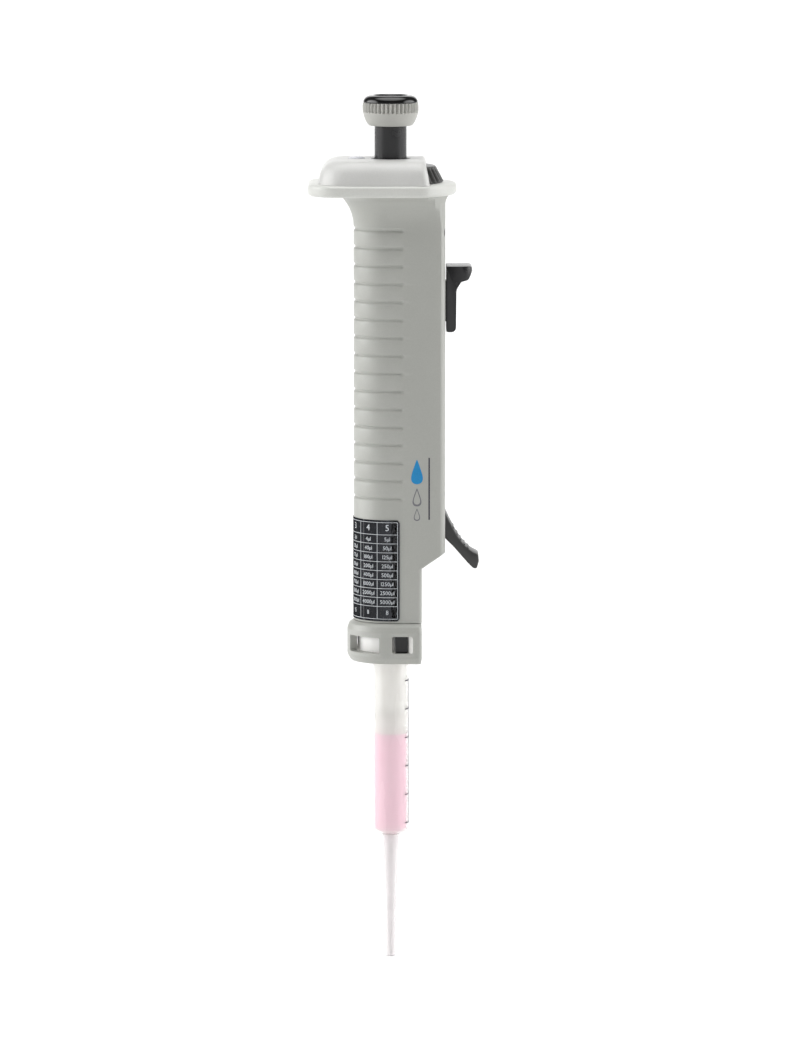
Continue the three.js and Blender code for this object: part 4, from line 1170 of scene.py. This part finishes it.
def make_pictogram():
    """Three falling drops and a rule beside them, printed on the side."""
    middle = 9.2
    blue = Print("drop_blue")
    filled = drop_outline(middle, -96.2, 5.0, 8.6)
    blue.patch(filled, [tuple(range(len(filled)))], side_place)
    done(blue.build(0.02), "root", INK_BLUE, "housing")
    grey = Print("drops_grey")
    for z, width, height in ((-105.1, 3.8, 6.4), (-111.2, 2.7, 4.4)):
        outer = drop_outline(middle, z, width, height)
        inner = [(middle + (x - middle) * 0.72, z - 0.1 + (y - z) * 0.76) for x, y in outer]
        grey.patch(outer + inner, band_faces(len(outer)), side_place)
    done(grey.build(0.02), "root", INK_GREY, "housing")
    rule = Print("side_rule")
    rule.strip(13.2, 13.7, -113.0, -91.2, side_place)
    done(rule.build(0.02), "root", INK_DARK, "housing")


# --- syringe tip


def make_nozzle():
    """The long nozzle: it narrows in three stretches to its rounded end."""
    end = BARREL.z0
    taper = rounded(
        (3.0, NOZZLE_TOP_Z, 0), (2.55, NOZZLE_TOP_Z - 10.6, 9), (2.04, NOZZLE_TOP_Z - 24.1, 9),
        (1.62, end + 2.2, 1.0), (1.5, end + 0.1, 1.2), (0.75, end, 0.2), (0.75, end + 0.1, 0),
        (1.0, end + 14, 9), (1.5, NOZZLE_TOP_Z - 12, 9), (2.2, NOZZLE_TOP_Z, 0), steps=6,
    )
    done(lathe("nozzle", taper, 64), "root", NOZZLE, "tip_plastic", "tip_barrel", angle=35)


def make_barrel():
    """The straight barrel and its shoulder."""
    outer = rounded(
        (BARREL_R, BARREL_TOP_Z, 0.2), (BARREL_R, SHOULDER_Z - 0.6, 0.7), (3.0, NOZZLE_TOP_Z, 0), steps=6
    )
    inner = rounded(
        (2.2, NOZZLE_TOP_Z, 0), (2.2, NOZZLE_TOP_Z + 0.3, 0.2), (BORE_R, SHOULDER_Z + 0.1, 0.6),
        (BORE_R, BARREL_TOP_Z, 0), steps=6,
    )
    barrel = lathe("barrel", outer + inner, 96)
    done(barrel, "root", TIP, "tip_plastic", "tip_barrel", angle=35)


def make_tip_collar():
    """The barrel's wide top, which sits in the socket ring."""
    plan = d_outline(11.6, 7.7, 0.6)
    collar = soften(extrude("collar", plan, "Z", TIP_COLLAR_LOW_Z, TIP_COLLAR_TOP_Z), 0.3, 2, 60)
    well = d_outline(10.2, 6.4, 0.6)
    collar = combine(collar, extrude("well", well, "Z", TIP_COLLAR_LOW_Z + TIP_COLLAR_FLOOR, -150))
    collar = combine(collar, cylinder(BARREL_R, -170, -150, 96))
    done(collar, "root", MILKY, "tip_plastic", "tip_barrel", angle=35)


def make_scale():
    """The printed 1 ml marks, their figures and the line that joins them."""
    scale = Print("barrel_scale")

    def front(u, v):
        a = u / BARREL_R
        out = Vector((math.cos(a), math.sin(a), 0))
        return out * (BARREL_R + 0.01) + Vector((0, 0, v)), out

    start = -3.9
    for i in range(6):
        z = MARK_ZERO_Z + MARK_PITCH * i
        scale.strip(start, start + 5.2, z - 0.2, z + 0.2, front, 0.4)
        if i:
            scale.text(str(i), (start + 7.2, z), 3.0, front)
    scale.strip(start + 2.5, start + 2.7, MARK_ZERO_Z, MARK_ZERO_Z + 5 * MARK_PITCH, front)
    done(scale.build(0.12), "root", INK_DARK, "tip_plastic")


def make_seal():
    """The piston's seal, with two lips and a groove between them."""
    low, high = SEAL.z0, SEAL.z1
    seal = rounded(
        (0, low, 0), (1.2, low + 0.15, 0.5), (4.9, low + 1.1, 0.4), (5.58, low + 1.5, 0.2),
        (5.58, low + 2.5, 0.3), (4.8, low + 3.1, 0.3), (4.8, high - 1.8, 0.3), (5.58, high - 1.2, 0.3),
        (5.58, high, 0.2), (0, high, 0), steps=4,
    )
    done(lathe("seal", seal, 96), "carriage", SEAL_WHITE, "seal_white", "piston_seal")


def make_piston_rod():
    """The rod: a cross in section, with a foot on the seal and a head for the chuck."""
    high = SEAL.z1
    wide, thin = 3.4, 0.9
    arms = [(wide, -thin), (wide, thin), (thin, thin)]
    corners = arms + [(-y, x) for x, y in arms] + [(-x, -y) for x, y in arms] + [(y, -x) for x, y in arms]
    cross = fillet([(a, b, 0.35) for a, b in corners], steps=3)
    rod = extrude("rod", cross, "Z", high + 1, -119.6)
    foot = rounded((0, high + 0.05, 0), (4.6, high + 0.05, 0.2), (4.6, high + 1.4, 0.3), (0, high + 1.4, 0))
    rod = combine(rod, lathe("foot", foot, 48), "UNION")
    head = rounded(
        (0, -120.5, 0), (2.0, -120.5, 0), (2.0, -117, 0.3), (3.6, -117, 0.2), (3.6, -113.4, 0.8),
        (2.2, ROD.z1, 0.3), (0, ROD.z1, 0),
    )
    rod = combine(rod, lathe("head", head, 48), "UNION")
    done(rod, "carriage", TIP, "tip_plastic", "piston_rod")


def make_liquid():
    """Pink liquid between the seal and the shoulder. Its skin has points only near its two ends."""
    edge = BORE_R + 0.03
    seal_low = SEAL.z0
    profile = [
        (0, NOZZLE_TOP_Z - 2.5),
        (1.6, NOZZLE_TOP_Z - 1.5),
        (2.2, NOZZLE_TOP_Z + 0.3),
        (edge - 0.5, SHOULDER_Z - 0.05),
        (edge, SHOULDER_Z + 0.4),
        (edge, seal_low + 1.25),
        (4.9, seal_low + 1.05),
        (1.2, seal_low + 0.1),
        (0, seal_low - 0.05),
    ]
    liquid = lathe("pink_fill", profile, 96)
    done(liquid, "root", PINK, "liquid", "liquid", angle=35)
    liquid.parent = None
    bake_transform(liquid)


# --- inner pieces that show through openings


def make_springs():
    """The button's return spring and the clamp lever's spring."""
    coil("coil_button", 4.9, 0.4, 5, (0, 0), up=True, node="return_spring")
    coil("coil_lever", 1.6, 0.22, 5, (11.4, 5.2), up=False, node="lever_spring")


def coil(name, radius, wire, turns, at, up, node):
    """A coil spring with closed ends, between the root and the moving body."""
    rows = []
    box = span(node)
    low, high = box.z0 + wire, box.z1 - wire
    steps = 28 * (turns + 2)
    for i in range(steps + 1):
        t = i / steps
        turn = t * (turns + 2)
        rise = min(1.0, max(0.0, (turn - 0.9) / turns))
        closed_ends = wire * max(0.0, turn - turns - 1)
        z = low + wire * 2 * min(turn, 1) * 0.5 + (high - low - wire * 2) * rise + closed_ends
        a = 2 * math.pi * turn
        out = Vector((math.cos(a), math.sin(a), 0))
        centre = Vector((at[0], at[1], z)) + out * radius
        row = []
        for k in range(8):
            b = k * math.pi / 4
            row.append(tuple(centre + out * wire * math.cos(b) + Vector((0, 0, wire * math.sin(b)))))
        rows.append(row)
    spring = loft(name, rows)
    done(spring, "root", STEEL, "steel", node)
    spring.parent = None
    low_end, high_end = (0, 0, box.z0 * MM), (0, 0, box.z1 * MM)
    if up:
        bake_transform(spring)
        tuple(low_end)
        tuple(high_end)
    else:
        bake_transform(spring)
        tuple(high_end)
        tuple(low_end)


def dress_cad_nodes():
    """Gives every CAD node its procedural material, by its slot in the record."""
    for row in frame["record"]["subparts"]:
        node = frame["nodes"][row["node"]]
        node.data.materials.clear()
        node.data.materials.append(SLOT_MATERIALS[row["material_slot"]])
        node.data.shade_smooth()
        node.data.set_sharp_from_angle(angle=math.radians(25))


# --- stage


def make_floor():
    floor_mesh = bpy.data.meshes.new("floor")
    size = 60.0
    z = CAD_BOX[0].z - 0.0002
    corners = [(-size, -size, z), (size, -size, z), (size, size, z), (-size, size, z)]
    floor_mesh.from_pydata(corners, [], [(0, 1, 2, 3)])
    floor = placed("floor", floor_mesh)
    shade = Shader("floor_white")
    shade.put("Base Color", shade.ramp(shade.noise(3, 2), (0.3, 0.86), (0.7, 0.87)))
    shade.put("Roughness", 0.9)
    shade.put("Specular IOR Level", 0.1)
    floor_mesh.materials.append(shade.material)


def make_light():
    """A soft studio all round: bright sheets left, right and above, white behind and dim in front."""
    world = bpy.data.worlds.new("studio")
    bpy.context.scene.world = world
    world.use_nodes = True
    nodes, links = world.node_tree.nodes, world.node_tree.links
    direction = nodes.new("ShaderNodeTexCoord").outputs["Generated"]
    total = None
    for toward, wide, tight, strength in SHEETS:
        facing = nodes.new("ShaderNodeVectorMath")
        facing.operation = "DOT_PRODUCT"
        links.new(direction, facing.inputs[0])
        facing.inputs[1].default_value = Vector(toward).normalized()
        sheet = nodes.new("ShaderNodeMapRange")
        sheet.interpolation_type = "SMOOTHSTEP"
        links.new(facing.outputs["Value"], sheet.inputs["Value"])
        for name, value in (("From Min", wide), ("From Max", tight), ("To Min", 0.0), ("To Max", strength)):
            sheet.inputs[name].default_value = value
        add = nodes.new("ShaderNodeMath")
        add.inputs[1].default_value = SHADE
        links.new(sheet.outputs["Result"], add.inputs[0])
        if total:
            links.new(total, add.inputs[1])
        total = add.outputs["Value"]
    links.new(total, nodes["Background"].inputs["Strength"])
    nodes["Background"].inputs["Color"].default_value = (1, 1, 1, 1)
    scene = bpy.context.scene
    scene.view_settings.view_transform = "Standard"
    scene.view_settings.look = "None"


CAMERA_LENS = 221.2
CAMERA_PLACE = Vector((0.0, -2.245, 0.177))
CAMERA_AIM = Vector((0.0012, 0, -0.1165))


def make_camera():
    """Higher than the head, looking slightly down at the middle of the pipette."""
    data = bpy.data.cameras.new("camera")
    data.sensor_width = 36
    data.lens = CAMERA_LENS
    camera = placed("camera", data)
    camera.location = CAMERA_PLACE
    camera.rotation_euler = (CAMERA_AIM - CAMERA_PLACE).to_track_quat("-Z", "Y").to_euler()
    bpy.context.scene.camera = camera


make_camera()
dress_cad_nodes()
make_housing()
make_cover()
for screw_name in ("upper_left", "upper_right", "lower_left", "lower_right"):
    make_screw(f"cover_screw_{screw_name}", 1.9, 0.6, "root")
make_finger_rest()
make_head()
make_bushing()
make_lens()
make_dial()
make_dial_figures()
make_knob()
make_cap()
make_shaft()
make_fill_lever()
make_clamp_lever()
make_ring()
make_label_sheet()
make_label_table()
make_pictogram()
make_nozzle()
make_barrel()
make_tip_collar()
make_scale()
make_seal()
make_piston_rod()
make_liquid()
make_springs()
make_floor()
make_light()
